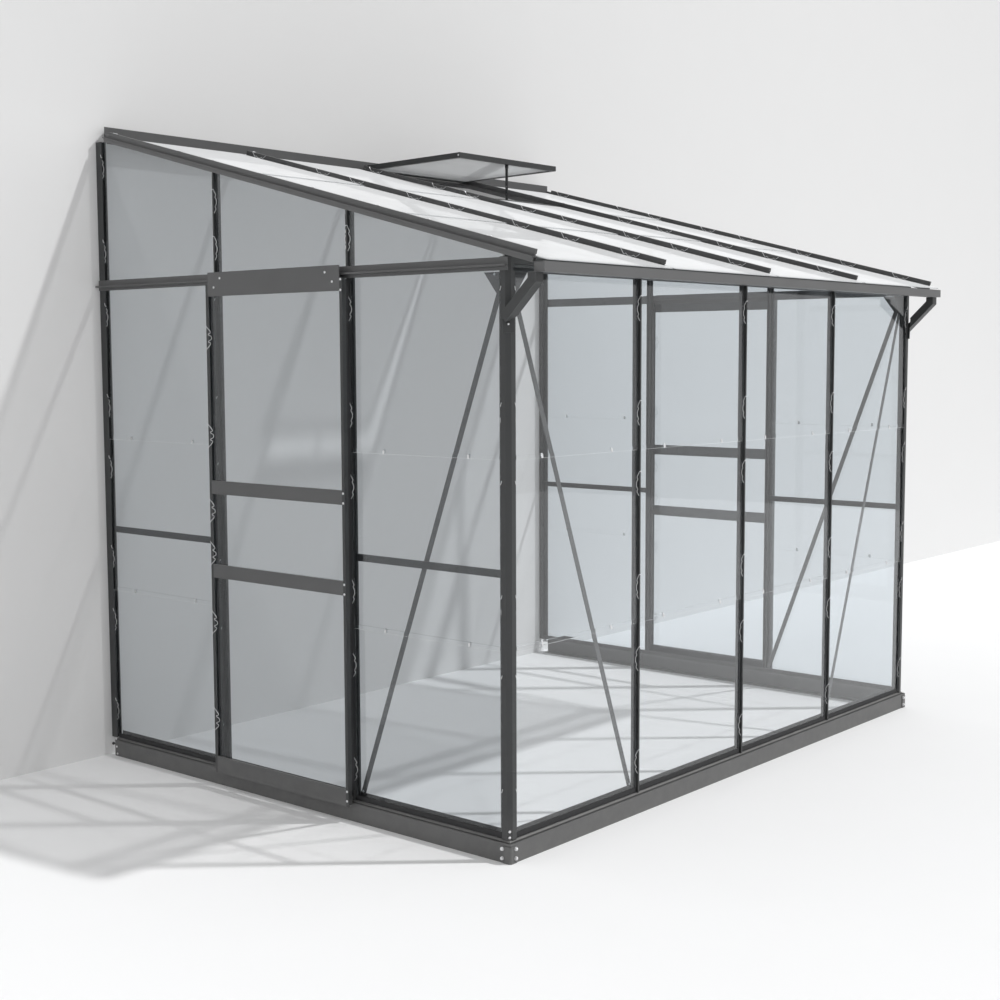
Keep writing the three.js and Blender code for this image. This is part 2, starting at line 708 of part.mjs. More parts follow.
// The plate and pin that carry one side of the vent, standing on a rafter.
function ventHingePlate(toVent) {
  const up = VENT_HINGE_LINE;
  const inner = HEAD_HALF + HINGE_PLATE_GAP;
  const outer = inner + HINGE_PLATE;
  const pinEnd = VENT_SIDE_GAP + VENT_RAIL + HINGE_PIN_REACH;
  const low = up - HINGE_PLATE_WIDTH / 2;
  const high = up + HINGE_PLATE_WIDTH / 2;
  const plate = lengthwise(
    rectangle(low, -WING_WALL / 2, high, VENT_HINGE_UP + HINGE_PLATE_RISE), toVent * inner, toVent * outer);
  const pin = roundBar(HINGE_PIN_RADIUS, pinEnd - inner, 12)
    .rotateZ(Math.PI / 2)
    .translate(toVent * (pinEnd + inner) / 2, up, VENT_HINGE_UP);
  return join(plate, pin);
}

function addRafters(roof) {
  const low = -(EAVE_REACH / SLOPE_COS);
  const high = WALL_LINE / SLOPE_COS;
  for (let k = 0; k <= FRONT_BAYS; k += 1) {
    const long = upright(glazingBarSection(), low, high).rotateX(-Math.PI / 2);
    const inner = k > 0 && k < FRONT_BAYS;
    let rafter = inner ? cut(long, plumbCutter(), finCutter()) : cut(long, plumbCutter());
    if (k === VENT_BAY) {
      rafter = join(rafter, ventHingePlate(1));
    }
    if (k === VENT_BAY + 1) {
      rafter = join(rafter, ventHingePlate(-1));
    }
    place(roof, `rafter_${k + 1}`, rafter, coated, [k * BAY_PITCH, 0, 0]);
  }
}

// Panes that lap like tiles: each stands on the one below it. u is outward, v is the way up.
function lappedPanes(low, rise, count, top = low + count * rise) {
  const inner = GLASS_INNER;
  const outerEdge = [[inner + GLASS, low]];
  const innerEdge = [];
  for (let k = 1; k < count; k += 1) {
    const joint = low + k * rise;
    outerEdge.push([inner + GLASS, joint], [inner + 2 * GLASS, joint]);
    innerEdge.push([inner, joint + GLASS_LAP], [inner + GLASS, joint + GLASS_LAP]);
  }
  return [[inner, low], ...outerEdge, [inner + GLASS, top], [inner, top], ...innerEdge.reverse()];
}

function addRoofGlass(roof) {
  const low = -((EAVE_REACH + DRIP_REACH) / SLOPE_COS);
  const high = RIDGE_WEB_LINE / SLOPE_COS - 2 * FIT;
  const underVent = SILL_UP_SLOPE - SILL_WIDTH / 2 - FIT;
  for (let k = 0; k < FRONT_BAYS; k += 1) {
    const top = k === VENT_BAY ? underVent : high;
    const count = k === VENT_BAY ? VENT_BAY_PANES : ROOF_PANES;
    const section = lappedPanes(low, (top - low) / count, count).map(([u, v]) => [v, u]);
    const glass = lengthwise(section, GLASS_EDGE_GAP, BAY_PITCH - GLASS_EDGE_GAP);
    place(roof, `roof_glass_${k + 1}`, glass, clear, [k * BAY_PITCH, 0, 0]);
  }
}

// Wall glass

function addFrontGlass(front) {
  const section = lappedPanes(PANE_BOTTOM, PANE_RISE, WALL_PANES).map(([u, v]) => [-u, v]);
  const atPost = POST_INNER + GLASS_POST_GAP;
  for (let k = 0; k < FRONT_BAYS; k += 1) {
    const start = k === 0 ? atPost : GLASS_EDGE_GAP;
    const end = BAY_PITCH - (k === FRONT_BAYS - 1 ? atPost : GLASS_EDGE_GAP);
    place(front, `front_glass_${k + 1}`, lengthwise(section, start, end), clear, [k * BAY_PITCH, 0, 0]);
  }
}

// The glass of one gable bay: lapped panes from the base up, the last cut along the rafter.
function gableGlass(side, start, end, bottom, count) {
  const section = lappedPanes(bottom, PANE_RISE, count, RIDGE_TOP).map(([u, v]) => [-u, v]);
  return cut(lengthwise(section, side * start, side * end), roofCutter(side, start - OVERRUN, end + OVERRUN));
}

function addGableGlass({ group, side, name }) {
  const atPost = POST_INNER + GLASS_POST_GAP;
  const doorBay = Math.floor(GABLE_BAYS / 2);
  const head = PANE_BOTTOM + WALL_PANES * PANE_RISE;
  const wallBay = GABLE_BAYS - 1;
  const wallEnd = GABLE_SPAN - WALL_POST_HALF - GLASS_POST_GAP;
  const corner = gableGlass(side, atPost, BAY_PITCH - GLASS_EDGE_GAP, PANE_BOTTOM, WALL_PANES + 1);
  place(group, `${name}_glass_front_bay`, corner, clear);
  const over = gableGlass(side, doorBay * BAY_PITCH + GLASS_EDGE_GAP,
    (doorBay + 1) * BAY_PITCH - GLASS_EDGE_GAP, head, 1);
  place(group, `${name}_glass_over_door`, over, clear);
  const wall = gableGlass(side, wallBay * BAY_PITCH + GLASS_EDGE_GAP, wallEnd, PANE_BOTTOM, WALL_PANES + 1);
  place(group, `${name}_glass_wall_bay`, wall, clear);
}

// Gable rails: the door's hanging track, with a sill for the glass over the door, and the mid bars

function addTrack({ group, side, name }) {
  const section = [
    [-TRACK_BACK, TRACK_BOTTOM],
    [-TRACK_BACK, TRACK_BOTTOM + TRACK_HEIGHT],
    [-TRACK_FACE, TRACK_BOTTOM + TRACK_HEIGHT],
    [-TRACK_FACE, TRACK_LEDGE_TOP],
    [-TRACK_LIP_OUTER + TRACK_LIP_WALL, TRACK_LEDGE_TOP],
    [-TRACK_LIP_OUTER + TRACK_LIP_WALL, TRACK_LEDGE_TOP + TRACK_LIP_HEIGHT],
    [-TRACK_LIP_OUTER, TRACK_LEDGE_TOP + TRACK_LIP_HEIGHT],
    [-TRACK_LIP_OUTER, TRACK_LEDGE_TOP - TRACK_WALL],
    [-TRACK_FACE, TRACK_LEDGE_TOP - TRACK_WALL],
    [-TRACK_FACE, TRACK_BOTTOM]
  ];
  const rail = lengthwise(section, side * -POST_PROUD, side * WALL_LINE);
  const doorBay = Math.floor(GABLE_BAYS / 2);
  const sillTop = PANE_BOTTOM + WALL_PANES * PANE_RISE - FIT;
  const sill = rectangle(-TRACK_BACK - WELD, sillTop - HEAD_SILL_WALL, -SEAL_HEIGHT - HEAD_SILL_CLEARANCE, sillTop);
  const beside = HEAD_HALF + FIT;
  const shelf = lengthwise(sill, side * (doorBay * BAY_PITCH + beside), side * ((doorBay + 1) * BAY_PITCH - beside));
  place(group, `${name}_door_track`, join(rail, shelf), coated);
}

function midBarSection() {
  const front = WING_WALL + FIT;
  const back = front + MID_BAR_DEPTH;
  const top = MID_BAR_BOTTOM + MID_BAR_HEIGHT;
  return [
    [front, MID_BAR_BOTTOM],
    [back, MID_BAR_BOTTOM],
    [back, MID_BAR_BOTTOM + MID_BAR_WALL],
    [front + MID_BAR_WALL, MID_BAR_BOTTOM + MID_BAR_WALL],
    [front + MID_BAR_WALL, top - MID_BAR_WALL],
    [back, top - MID_BAR_WALL],
    [back, top],
    [front, top]
  ];
}

function addMidBars({ group, side, name }) {
  const spans = {
    front: [POST_INNER + FIT, BAY_PITCH - SLOT_HALF - FIT],
    wall: [GABLE_SPAN - BAY_PITCH + SLOT_HALF + FIT, GABLE_SPAN - WALL_POST_HALF - FIT]
  };
  for (const [bay, [start, end]] of Object.entries(spans)) {
    place(group, `${name}_mid_bar_${bay}`, lengthwise(midBarSection(), side * start, side * end), coated);
  }
}

// Flat brace from the top of a corner post to the foot of the next bar, with its gusset plate
function brace(side, gussetStart, gussetTop) {
  const inner = POST_INNER + FIT + BRACE_WALL;
  const head = [BRACE_TOP_IN, BRACE_TOP_Z];
  const foot = [BAY_PITCH - SLOT_HALF - BRACE_FOOT_CLEARANCE - BRACE_WIDTH / 2, BRACE_FOOT_Z];
  const run = [foot[0] - head[0], foot[1] - head[1]];
  const length = Math.hypot(run[0], run[1]);
  const across = [-run[1] / length * BRACE_WIDTH / 2, run[0] / length * BRACE_WIDTH / 2];
  const strap = [
    [head[0] + across[0], head[1] + across[1]],
    [foot[0] + across[0], foot[1] + across[1]],
    [foot[0] - across[0], foot[1] - across[1]],
    [head[0] - across[0], head[1] - across[1]]
  ].map(([u, v]) => [side * u, v]);
  const gusset = [
    [gussetStart, gussetTop],
    [GUSSET_WIDTH, gussetTop],
    [BRACE_TOP_IN + BRACE_WIDTH / 2, gussetTop - GUSSET_HEIGHT],
    [gussetStart, gussetTop - GUSSET_HEIGHT]
  ].map(([u, v]) => [side * u, v]);
  return join(upStanding(strap, inner, BRACE_WALL), upStanding(gusset, inner, BRACE_WALL));
}

function addBraces(front, gables) {
  const onPost = WING_WALL + FIT;
  for (const { group, side, name } of gables) {
    place(group, `${name}_brace`, brace(side, onPost, BEAM_BOTTOM - FIT), coated);
    const besidePost = POST_INNER + BRACE_WALL + 2 * FIT;
    const x = side > 0 ? FRONT_SPAN : 0;
    place(front, `front_brace_${name}`, brace(-side, besidePost, BEAM_BOTTOM - FIT), coated, [x, 0, 0]);
  }
}

// Sliding doors, each in a group of its own whose x runs from the middle of the leaf

function doorStile(side) {
  const back = DOOR_FRONT - DOOR_THICKNESS;
  const edge = DOOR_WIDTH / 2;
  const section = [
    [edge, -DOOR_FRONT],
    [edge, -back],
    [edge - STILE_FLANGE, -back],
    [edge - STILE_FLANGE, -back - DOOR_WALL],
    [edge - DOOR_WALL, -back - DOOR_WALL],
    [edge - DOOR_WALL, -DOOR_FRONT + DOOR_WALL],
    [edge - STILE_FLANGE, -DOOR_FRONT + DOOR_WALL],
    [edge - STILE_FLANGE, -DOOR_FRONT]
  ].map(([u, v]) => [side * u, v]);
  return upright(section, STILE_BOTTOM, STILE_TOP);
}

// Channel with its back to the outside, its face taller than its flanges when plate is given.
function railSection(bottom, flangeTop, top = flangeTop) {
  const back = -DOOR_FRONT + RAIL_DEPTH;
  const plate = -DOOR_FRONT + DOOR_WALL;
  const section = [
    [-DOOR_FRONT, bottom],
    [back, bottom],
    [back, bottom + DOOR_WALL],
    [plate, bottom + DOOR_WALL],
    [plate, flangeTop - DOOR_WALL],
    [back, flangeTop - DOOR_WALL],
    [back, flangeTop]
  ];
  if (top > flangeTop) {
    section.push([plate, flangeTop], [plate, top]);
  }
  section.push([-DOOR_FRONT, top]);
  return section;
}

// Keeps the foot of the door behind the lip of the base rail.
function guideHook(start) {
  const armZ = BASE_LIP_HEIGHT + HOOK_LIFT;
  const outer = POST_INSET - BASE_LIP_WALL - HOOK_CLEARANCE;
  const section = [
    [-DOOR_FRONT + DOOR_WALL / 2, armZ + DOOR_WALL],
    [-outer + DOOR_WALL, armZ + DOOR_WALL],
    [-outer + DOOR_WALL, BASE_GROOVE_FLOOR + HOOK_DIP],
    [-outer, BASE_GROOVE_FLOOR + HOOK_DIP],
    [-outer, armZ],
    [-DOOR_FRONT + DOOR_WALL / 2, armZ]
  ];
  return lengthwise(section, start, start + HOOK_LENGTH);
}

function doorFrame() {
  const reach = DOOR_WIDTH / 2 - DOOR_WALL / 2;
  const rails = [
    railSection(MID_RAIL_UPPER_Z, MID_RAIL_UPPER_Z + RAIL_HEIGHT),
    railSection(MID_RAIL_LOWER_Z, MID_RAIL_LOWER_Z + RAIL_HEIGHT),
    railSection(BOTTOM_RAIL_Z, BOTTOM_RAIL_Z + BOTTOM_RAIL_HEIGHT)
  ].map((section) => lengthwise(section, -reach, reach));
  const hooks = [-DOOR_WIDTH / 2 + HOOK_START, DOOR_WIDTH / 2 - HOOK_START - HOOK_LENGTH].map(guideHook);
  return join(doorStile(-1), doorStile(1), ...rails, ...hooks);
}

function rollerCentreHeight() {
  return TRACK_LEDGE_TOP + ROLLER_RADIUS + FIT;
}

function doorTopRail() {
  const half = DOOR_WIDTH / 2 - STILE_FLANGE - FIT;
  const channel = lengthwise(railSection(TOP_RAIL_Z, STILE_TOP, TOP_RAIL_Z + TOP_RAIL_HEIGHT), -half, half);
  const plate = -DOOR_FRONT + DOOR_WALL / 2;
  const tip = -TRACK_FACE - ROLLER_SIDE_GAP;
  const collarEnd = tip - ROLLER_WIDTH - ROLLER_HUB_PROUD - FIT;
  const axles = [-ROLLER_SPREAD, ROLLER_SPREAD].map((x) => join(
    roundBar(AXLE_RADIUS, tip - plate, 12).translate(x, (tip + plate) / 2, rollerCentreHeight()),
    roundBar(AXLE_COLLAR_RADIUS, collarEnd - plate, 12).translate(x, (collarEnd + plate) / 2, rollerCentreHeight())
  ));
  return join(channel, ...axles);
}

// Grooved wheel with a proud hub, bored for its axle; y is the axle.
function roller() {
  const half = ROLLER_WIDTH / 2;
  const bore = AXLE_RADIUS + AXLE_CLEARANCE;
  const profile = [
    [bore, -half - ROLLER_HUB_PROUD],
    [ROLLER_HUB_RADIUS, -half - ROLLER_HUB_PROUD],
    [ROLLER_HUB_RADIUS, -half],
    [ROLLER_RADIUS, -half],
    [ROLLER_RADIUS, half],
    [ROLLER_HUB_RADIUS, half],
    [bore, half],
    [bore, -half - ROLLER_HUB_PROUD]
  ].map(([r, y]) => new THREE.Vector2(r, y));
  return new THREE.LatheGeometry(profile, 24);
}

function addDoor({ group, side, name }) {
  const door = new THREE.Group();
  door.position.set(side * GABLE_SPAN / 2, 0, 0);
  group.add(door);
  place(door, `${name}_door_frame`, doorFrame(), coated);
  place(door, `${name}_door_top_rail`, doorTopRail(), coated);
  const reach = DOOR_WIDTH / 2 - DOOR_WALL - DOOR_GLASS_SIDE_GAP;
  const glassInner = -DOOR_FRONT + RAIL_DEPTH + FIT + GLASS;
  const pane = upStanding(rectangle(-reach, DOOR_GLASS_BOTTOM, reach, DOOR_GLASS_TOP), glassInner, GLASS);
  place(door, `${name}_door_glass`, pane, clear);
  const y = -TRACK_FACE - ROLLER_SIDE_GAP - ROLLER_WIDTH / 2;
  const ends = { front: -side * ROLLER_SPREAD, wall: side * ROLLER_SPREAD };
  for (const [end, x] of Object.entries(ends)) {
    place(door, `${name}_roller_${end}`, roller(), nylon, [x, y, rollerCentreHeight()]);
  }
}

// Roof vent

function addVentSill(roof) {
  const low = SILL_UP_SLOPE - SILL_WIDTH / 2;
  const high = SILL_UP_SLOPE + SILL_WIDTH / 2;
  const nose = GLASS_INNER + GLASS + FIT;
  const section = [
    [low - SILL_NOSE, nose],
    [low - SILL_NOSE, nose + SILL_WALL],
    [low + SILL_WALL, nose + SILL_WALL],
    [low + SILL_WALL, GLASS_INNER + SILL_WALL],
    [high + SILL_SHELF, GLASS_INNER + SILL_WALL],
    [high + SILL_SHELF, GLASS_INNER],
    [low, GLASS_INNER],
    [low, nose]
  ];
  const left = VENT_BAY * BAY_PITCH;
  const right = left + BAY_PITCH;
  const bar = lengthwise(section, left + HEAD_HALF + FIT, right - HEAD_HALF - FIT);
  const apron = rectangle(high - SILL_WALL, -SILL_DROP, high, GLASS_INNER + WELD);
  const skirt = lengthwise(apron, left + WING_HALF + FIT, right - WING_HALF - FIT);
  const middle = (left + right) / 2;
  const notch = lengthwise(rectangle(high + FIT, -OVERRUN, high + OVERRUN, OVERRUN),
    middle - SILL_NOTCH_HALF, middle + SILL_NOTCH_HALF);
  place(roof, 'vent_sill', cut(join(bar, skirt), notch), coatedDark);
}

// From a place in the roof's frame to one in the front wall's frame, both in y and z.
function roofToWall(up, out) {
  return [up * SLOPE_COS - out * SLOPE_SIN, ROOF_HEIGHT + up * SLOPE_SIN + out * SLOPE_COS];
}

// The hinge line and, at rest, the stay's pivot, in the front wall's frame.
function ventPoints() {
  const hinge = roofToWall(VENT_HINGE_LINE, VENT_HINGE_UP);
  const skirt = roofToWall(SILL_UP_SLOPE + SILL_WIDTH / 2, -SILL_DROP);
  const tilt = ROOF_SLOPE - VENT_OPEN;
  const pivotY = skirt[0] + FIT + STAY_WIDTH / 2;
  const run = (hinge[0] - pivotY + STAY_PIVOT_DROP * Math.sin(tilt)) / Math.cos(tilt);
  const pivotZ = hinge[1] - run * Math.sin(tilt) - STAY_PIVOT_DROP * Math.cos(tilt);
  return { hinge, skirt, tilt, run, pivot: [pivotY, pivotZ] };
}

// Open-sided rail round the glass, an eye at each end of the head and the stay's clevis.
function ventFrame(width, run) {
  const half = width / 2;
  const low = -VENT_LENGTH;
  const top = VENT_RAIL_HEIGHT - VENT_DROP;
  const ring = new THREE.ExtrudeGeometry(
    outline(rectangle(-half, low, half, VENT_HEAD), [
      rectangle(-half + VENT_RAIL, low + VENT_RAIL, half - VENT_RAIL, VENT_HEAD - 2 * VENT_RAIL)
    ]),
    { depth: VENT_RAIL_HEIGHT, bevelEnabled: false }).translate(0, 0, -VENT_DROP);
  const edge = VENT_LEDGE;
  const ledge = new THREE.ExtrudeGeometry(
    outline(rectangle(-half + edge, low + edge, half - edge, VENT_HEAD - edge), [
      rectangle(-half + VENT_RAIL + edge, low + VENT_RAIL + edge, half - VENT_RAIL - edge,
        VENT_HEAD - 2 * VENT_RAIL - edge)
    ]),
    { depth: VENT_LEDGE_WALL, bevelEnabled: false }).translate(0, 0, -VENT_DROP);
  const inner = STAY_WALL / 2 + CLEVIS_GAP;
  const ears = [-1, 1].map((side) => lengthwise(
    rectangle(-run - STAY_WIDTH / 2, -STAY_PIVOT_DROP - STAY_WIDTH / 2, -run + STAY_WIDTH / 2, -VENT_DROP - WELD),
    side * inner, side * (inner + CLEVIS_WALL)));
  const foot = lengthwise(
    rectangle(low + VENT_RAIL / 2, -VENT_DROP - CLEVIS_BASE_WALL, -run + STAY_WIDTH / 2, -VENT_DROP + WELD),
    -inner - CLEVIS_WALL, inner + CLEVIS_WALL);
  const pin = roundBar(STAY_PIN_RADIUS, 2 * (inner + CLEVIS_WALL), 12)
    .rotateZ(Math.PI / 2)
    .translate(0, -run, -STAY_PIVOT_DROP);
  const bore = roundBar(HINGE_PIN_RADIUS + HINGE_CLEARANCE, width + OVERRUN, 16).rotateZ(Math.PI / 2);
  const keep = new THREE.BoxGeometry(width - 2 * (VENT_RAIL + HINGE_PIN_REACH + HINGE_CLEARANCE), OVERRUN, OVERRUN);
  const frame = join(ring, ledge, foot, ...ears, pin);
  return cut(frame, cut(bore, keep));
}

function addVent(front) {
  const { hinge, skirt, tilt, run, pivot } = ventPoints();
  const width = BAY_PITCH - 2 * VENT_SIDE_GAP;
  const middle = (VENT_BAY + 0.5) * BAY_PITCH;
  const vent = new THREE.Group();
  vent.position.set(middle, hinge[0], hinge[1]);
  vent.rotation.x = tilt;
  front.add(vent);
  place(vent, 'vent_frame', ventFrame(width, run), coated);
  const gap = VENT_RAIL + VENT_GLASS_EDGE_GAP;
  const pane = new THREE.ExtrudeGeometry(
    outline(rectangle(-width / 2 + gap, -VENT_LENGTH + gap, width / 2 - gap, VENT_HEAD - gap - VENT_RAIL)),
    { depth: GLASS, bevelEnabled: false });
  place(vent, 'vent_glass', pane, clear, [0, 0, -VENT_DROP + VENT_LEDGE_WALL + FIT]);
  place(front, 'vent_stay', ventStay(pivot[1] - skirt[1] + STAY_DIP - SILL_DROP), coated, [middle, ...pivot]);
}

// Flat bar with round ends that hangs from its pivot, with holes for the peg.
function ventStay(length) {
  const radius = STAY_WIDTH / 2;
  const bar = new THREE.Shape();
  bar.absarc(0, 0, radius, 0, Math.PI, false);
  bar.absarc(0, -length + radius, radius, Math.PI, 2 * Math.PI, false);
  const hole = (z) => new THREE.Path().absarc(0, z, STAY_HOLE_RADIUS, 0, 2 * Math.PI, true);
  bar.holes.push(hole(0));
  for (let k = 0; k < STAY_HOLES; k += 1) {
    bar.holes.push(hole(-length + STAY_WIDTH + k * STAY_HOLE_PITCH));
  }
  const geometry = new THREE.ExtrudeGeometry(bar, { depth: STAY_WALL, bevelEnabled: false, curveSegments: 8 });
  return geometry.translate(0, 0, -STAY_WALL / 2).rotateX(Math.PI / 2).rotateZ(Math.PI / 2);
}

// The whole greenhouse

const greenhouse = new THREE.Group();

const front = new THREE.Group();
front.position.set(-AXIS_X, AXIS_Y, 0);
greenhouse.add(front);

const gables = [-1, 1].map((side) => {
  const group = new THREE.Group();
  group.position.set(side * AXIS_X, AXIS_Y, 0);
  group.rotation.z = side * Math.PI / 2;
  greenhouse.add(group);
  return { group, side, name: side < 0 ? 'left' : 'right' };
});

const roof = new THREE.Group();
roof.position.set(-AXIS_X, AXIS_Y, ROOF_HEIGHT);
roof.rotation.x = ROOF_SLOPE;
greenhouse.add(roof);

addBase(front, gables);
addPosts(front, gables);
addFrontBars(front);
addEaveBeam(front);
addGutter(front);
addRidgeBar(front);
addFrontGlass(front);
addBraces(front, gables);
for (const gable of gables) {
  addGableBars(gable);
  addGableGlass(gable);
  addTrack(gable);
  addMidBars(gable);
  addDoor(gable);
}
addRafters(roof);
addRoofGlass(roof);
addVentSill(roof);
addVent(front);

export default greenhouse;
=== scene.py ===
"""Lean-to greenhouse: coated aluminium frame, clear lapped glass, sliding end doors and a roof vent."""

import math

import bmesh
import bpy
from mathutils import Matrix, Vector


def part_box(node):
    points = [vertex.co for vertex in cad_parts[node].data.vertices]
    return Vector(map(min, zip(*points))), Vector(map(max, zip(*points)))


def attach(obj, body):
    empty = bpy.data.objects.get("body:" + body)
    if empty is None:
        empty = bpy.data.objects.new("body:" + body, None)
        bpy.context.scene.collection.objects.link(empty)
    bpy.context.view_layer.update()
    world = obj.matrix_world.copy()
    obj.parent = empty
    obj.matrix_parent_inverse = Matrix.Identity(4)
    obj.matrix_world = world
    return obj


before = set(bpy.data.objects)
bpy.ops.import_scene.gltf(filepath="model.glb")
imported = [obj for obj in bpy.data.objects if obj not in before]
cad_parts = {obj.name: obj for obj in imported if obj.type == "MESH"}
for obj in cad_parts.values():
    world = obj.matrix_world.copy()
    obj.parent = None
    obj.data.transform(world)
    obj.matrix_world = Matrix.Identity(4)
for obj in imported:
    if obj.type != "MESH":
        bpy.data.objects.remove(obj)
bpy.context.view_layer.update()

# Layout of the greenhouse, in metres
BAY = 0.622
FRONT_BAYS = 4
GABLE_BAYS = 3
HALF_SPAN = FRONT_BAYS * BAY / 2
BAR_LINE = -0.8705
WALL_LINE = 1.0095
WALL_POST_LINE = BAR_LINE + GABLE_BAYS * BAY
ROOF_HEIGHT = 1.733
ROOF_SLOPE = math.radians(14.5)
PANE_BOTTOM = 0.0646
PANE_RISE = 0.54303
ROOF_PANE_LOW = -0.1394
ROOF_PANE_RISE = 0.6798
VENT_BAY = 2
VENT_BAY_PANE_RISE = 0.7279
GLASS = 0.003
GLASS_FACE = 0.0047
WALL_PANES = 3
ROOF_PANES = 3
DOOR_MIDDLE = BAR_LINE + 1.5 * BAY
DOOR_HALF = 0.320
DOOR_FACE = 0.044
STILE_FLANGE = 0.011
WRAP_FACE = 0.0238
WRAP_FRONT = 0.0235
BASE_FACE = 0.021
SIDES = {"left": -1, "right": 1}

# Camera, as the photograph was taken
CAMERA_PLACE = (-4.4752, -3.5759, 1.4369)
CAMERA_YAW = 49.739
CAMERA_PITCH = 5.389
CAMERA_ROLL = -0.202
CAMERA_LENS = 54.464
CAMERA_FAR = 60
SENSOR = 36.0

# Colours, as linear red, green and blue
COAT_GREY = (0.090, 0.091, 0.092)
# Darker copy of the anthracite coat: painted shade on bars, posts, stiles and under the gutter
COAT_DARK_PAINTED_SHADE = (0.035, 0.037, 0.038)
# Lighter copy of the anthracite coat: painted light on the rafters and the gutter's face
COAT_PAINTED_LIGHT = (0.118, 0.119, 0.120)
# Near black copy of the coat: painted shade on the base's upstand
COAT_SHADED = (0.014, 0.015, 0.016)
BLACK_STEEL = (0.030, 0.030, 0.031)
STEEL_GREY = (0.78, 0.78, 0.79)
RUBBER_BLACK = (0.012, 0.012, 0.013)
NYLON_BLACK = (0.022, 0.022, 0.023)
FRONT_GLASS = (0.93, 0.96, 0.98)
# Darker tint on the gable glass than on the front, painted shade: the panes are the same glass
GABLE_GLASS_PAINTED_SHADE = (0.72, 0.755, 0.78)
ROOF_GLASS = (0.86, 0.89, 0.90)
GROUND_EDGE = (0.62, 0.68, 0.69)
SETTLED_DUST = (0.33, 0.32, 0.30)
# Pale film on the roof glass at flat angles: dust and a painted sheen
GLASS_FILM_AND_SHEEN = (0.92, 0.93, 0.94)
FLOOR_WHITE = (0.88, 0.883, 0.888)
WALL_WHITE = (0.80, 0.80, 0.80)

# Finishes: how far clouds darken and lighten a colour, roughness, and bumps as strength and depth in metres
CLOUD_DARK = 0.86
CLOUD_LIGHT = 1.16
CLOUD_DETAIL = 5.0
DUST_ON_TOP = 0.8
SPLASH_START = 0.7
DUST_PATCH_SIZE = 28.0
DUST_PATCH_DETAIL = 6.0
BEVEL_SAMPLES = 4
EDGE_STRENGTH = 0.8
EDGE_WEAR_AND_HIGHLIGHT_LIGHTER = 2.1
COAT_ROUGHNESS = 0.42
COAT_ROUGHNESS_DOWN = 0.05
COAT_ROUGHNESS_UP = 0.08
COAT_BUMP = (0.25, 0.0003)
COAT_DUST = 0.35
POST_DUST = 0.25
BASE_SHADED_ABOVE = 0.0680
GUTTER_BOTTOM = 1.6665
GLASS_IOR = 1.5
GLASS_WAVE_SIZE = 1.4
GLASS_WAVE_BUMP = (0.12, 0.004)
FRONT_SHADE = 0.95
GABLE_SHADE = 0.90
ROOF_SHADE = 0.62
ROOF_FILM_AND_SHEEN = 0.9
FILM_STREAK_SIZE = 9.0
FILM_STREAK_DARK = 0.9
FILM_BLEND = 0.5
FILM_POWER = 5.0
MOULDED_CLOUD_SIZE = 40.0
MOULDED_LIGHTER = 1.8
MOULDED_LIGHTEST = 0.9
MOULDED_ROUGHNESS_SPREAD = 0.08
MOULDED_BUMP = (0.15, 0.0002)
STEEL_GRAIN = 2400.0
STEEL_CLOUD_SIZE = 60.0
STEEL_ROUGHNESS = (0.34, 0.48)
STEEL_BUMP = (0.1, 0.0001)

# Wire clips, in metres: places up the walls and roof, the bow as across, along and share of its height,
# and for each bar where the bow starts, how far it reaches, and where the wire hooks over the fin
WIRE_RADIUS = 0.0010
WIRE_SIDES = 6
WIRE_STEPS = 3
WIRE_GAP = 0.0001
CLIP_HEIGHTS = (0.162, 0.491, 0.720, 1.043, 1.262, 1.583)
CLIP_HEIGHTS_OVER_TRACK = {1: (1.793,), 2: (1.793, 1.945)}
CLIP_HEIGHTS_WALL_POST = (1.805, 2.100)
CLIP_RUNS_ROOF = (0.03, 0.27, 0.48, 0.77, 0.97, 1.26, 1.44, 1.80)
VENT_FOOT = 1.25
CLIP_BOW = (
    (0.0, -0.036, 1.0), (0.0064, -0.0225, 0.1), (0.0030, -0.0160, 0.35),
    (0.0080, -0.0065, 0.0), (0.0086, 0.0, 0.0), (0.0080, 0.0065, 0.0),
    (0.0030, 0.0160, 0.35), (0.0064, 0.0225, 0.1), (0.0, 0.036, 1.0))
BAR_HOLD = {"start": 0.0024, "reach": 1.0, "under": 0.0102, "edge": 0.0044, "over": 0.0141, "tip": -0.0044}
POST_HOLD = {"start": 0.0130, "reach": 1.0, "under": 0.0090, "edge": 0.0194, "over": 0.0131, "tip": 0.0140}
CAP_HOLD = {"start": 0.0055, "reach": 0.1, "under": 0.0195, "edge": 0.0055, "over": 0.0231, "tip": -0.0055}
CLIP_TURN = 0.0385
CLIP_TOP = 0.0405
CLIP_TIP = 0.0027
CLIP_CROSSING = 0.009
STILE_CLIP_HEIGHTS = (0.231, 0.560, 0.792, 0.934, 1.182, 1.503)
STILE_CLIP = (
    (0.0012, -0.0370, -0.0040), (0.0012, -0.0375, 0.0), (-0.0012, -0.0370, 0.0011),
    (-0.0225, -0.0190, 0.0011), (-0.0100, -0.0120, 0.0011), (-0.0255, -0.0045, 0.0011),
    (-0.0255, 0.0045, 0.0011), (-0.0100, 0.0120, 0.0011), (-0.0225, 0.0190, 0.0011),
    (-0.0012, 0.0370, 0.0011), (0.0012, 0.0375, 0.0), (0.0012, 0.0370, -0.0040))

# Lap hooks, in metres, with the bent strip as along and out
HOOK_IN = 0.142
HOOK_WIDTH = 0.007
HOOK_WALL = 0.0006
HOOK_PATH = (
    (0.0030, 0.0013), (0.0118, 0.0013), (0.0127, 0.0019), (0.0127, 0.0041), (0.0118, 0.0047),
    (0.0006, 0.0047), (-0.0007, 0.0053), (-0.0007, 0.0075), (0.0006, 0.0081), (0.0100, 0.0082))

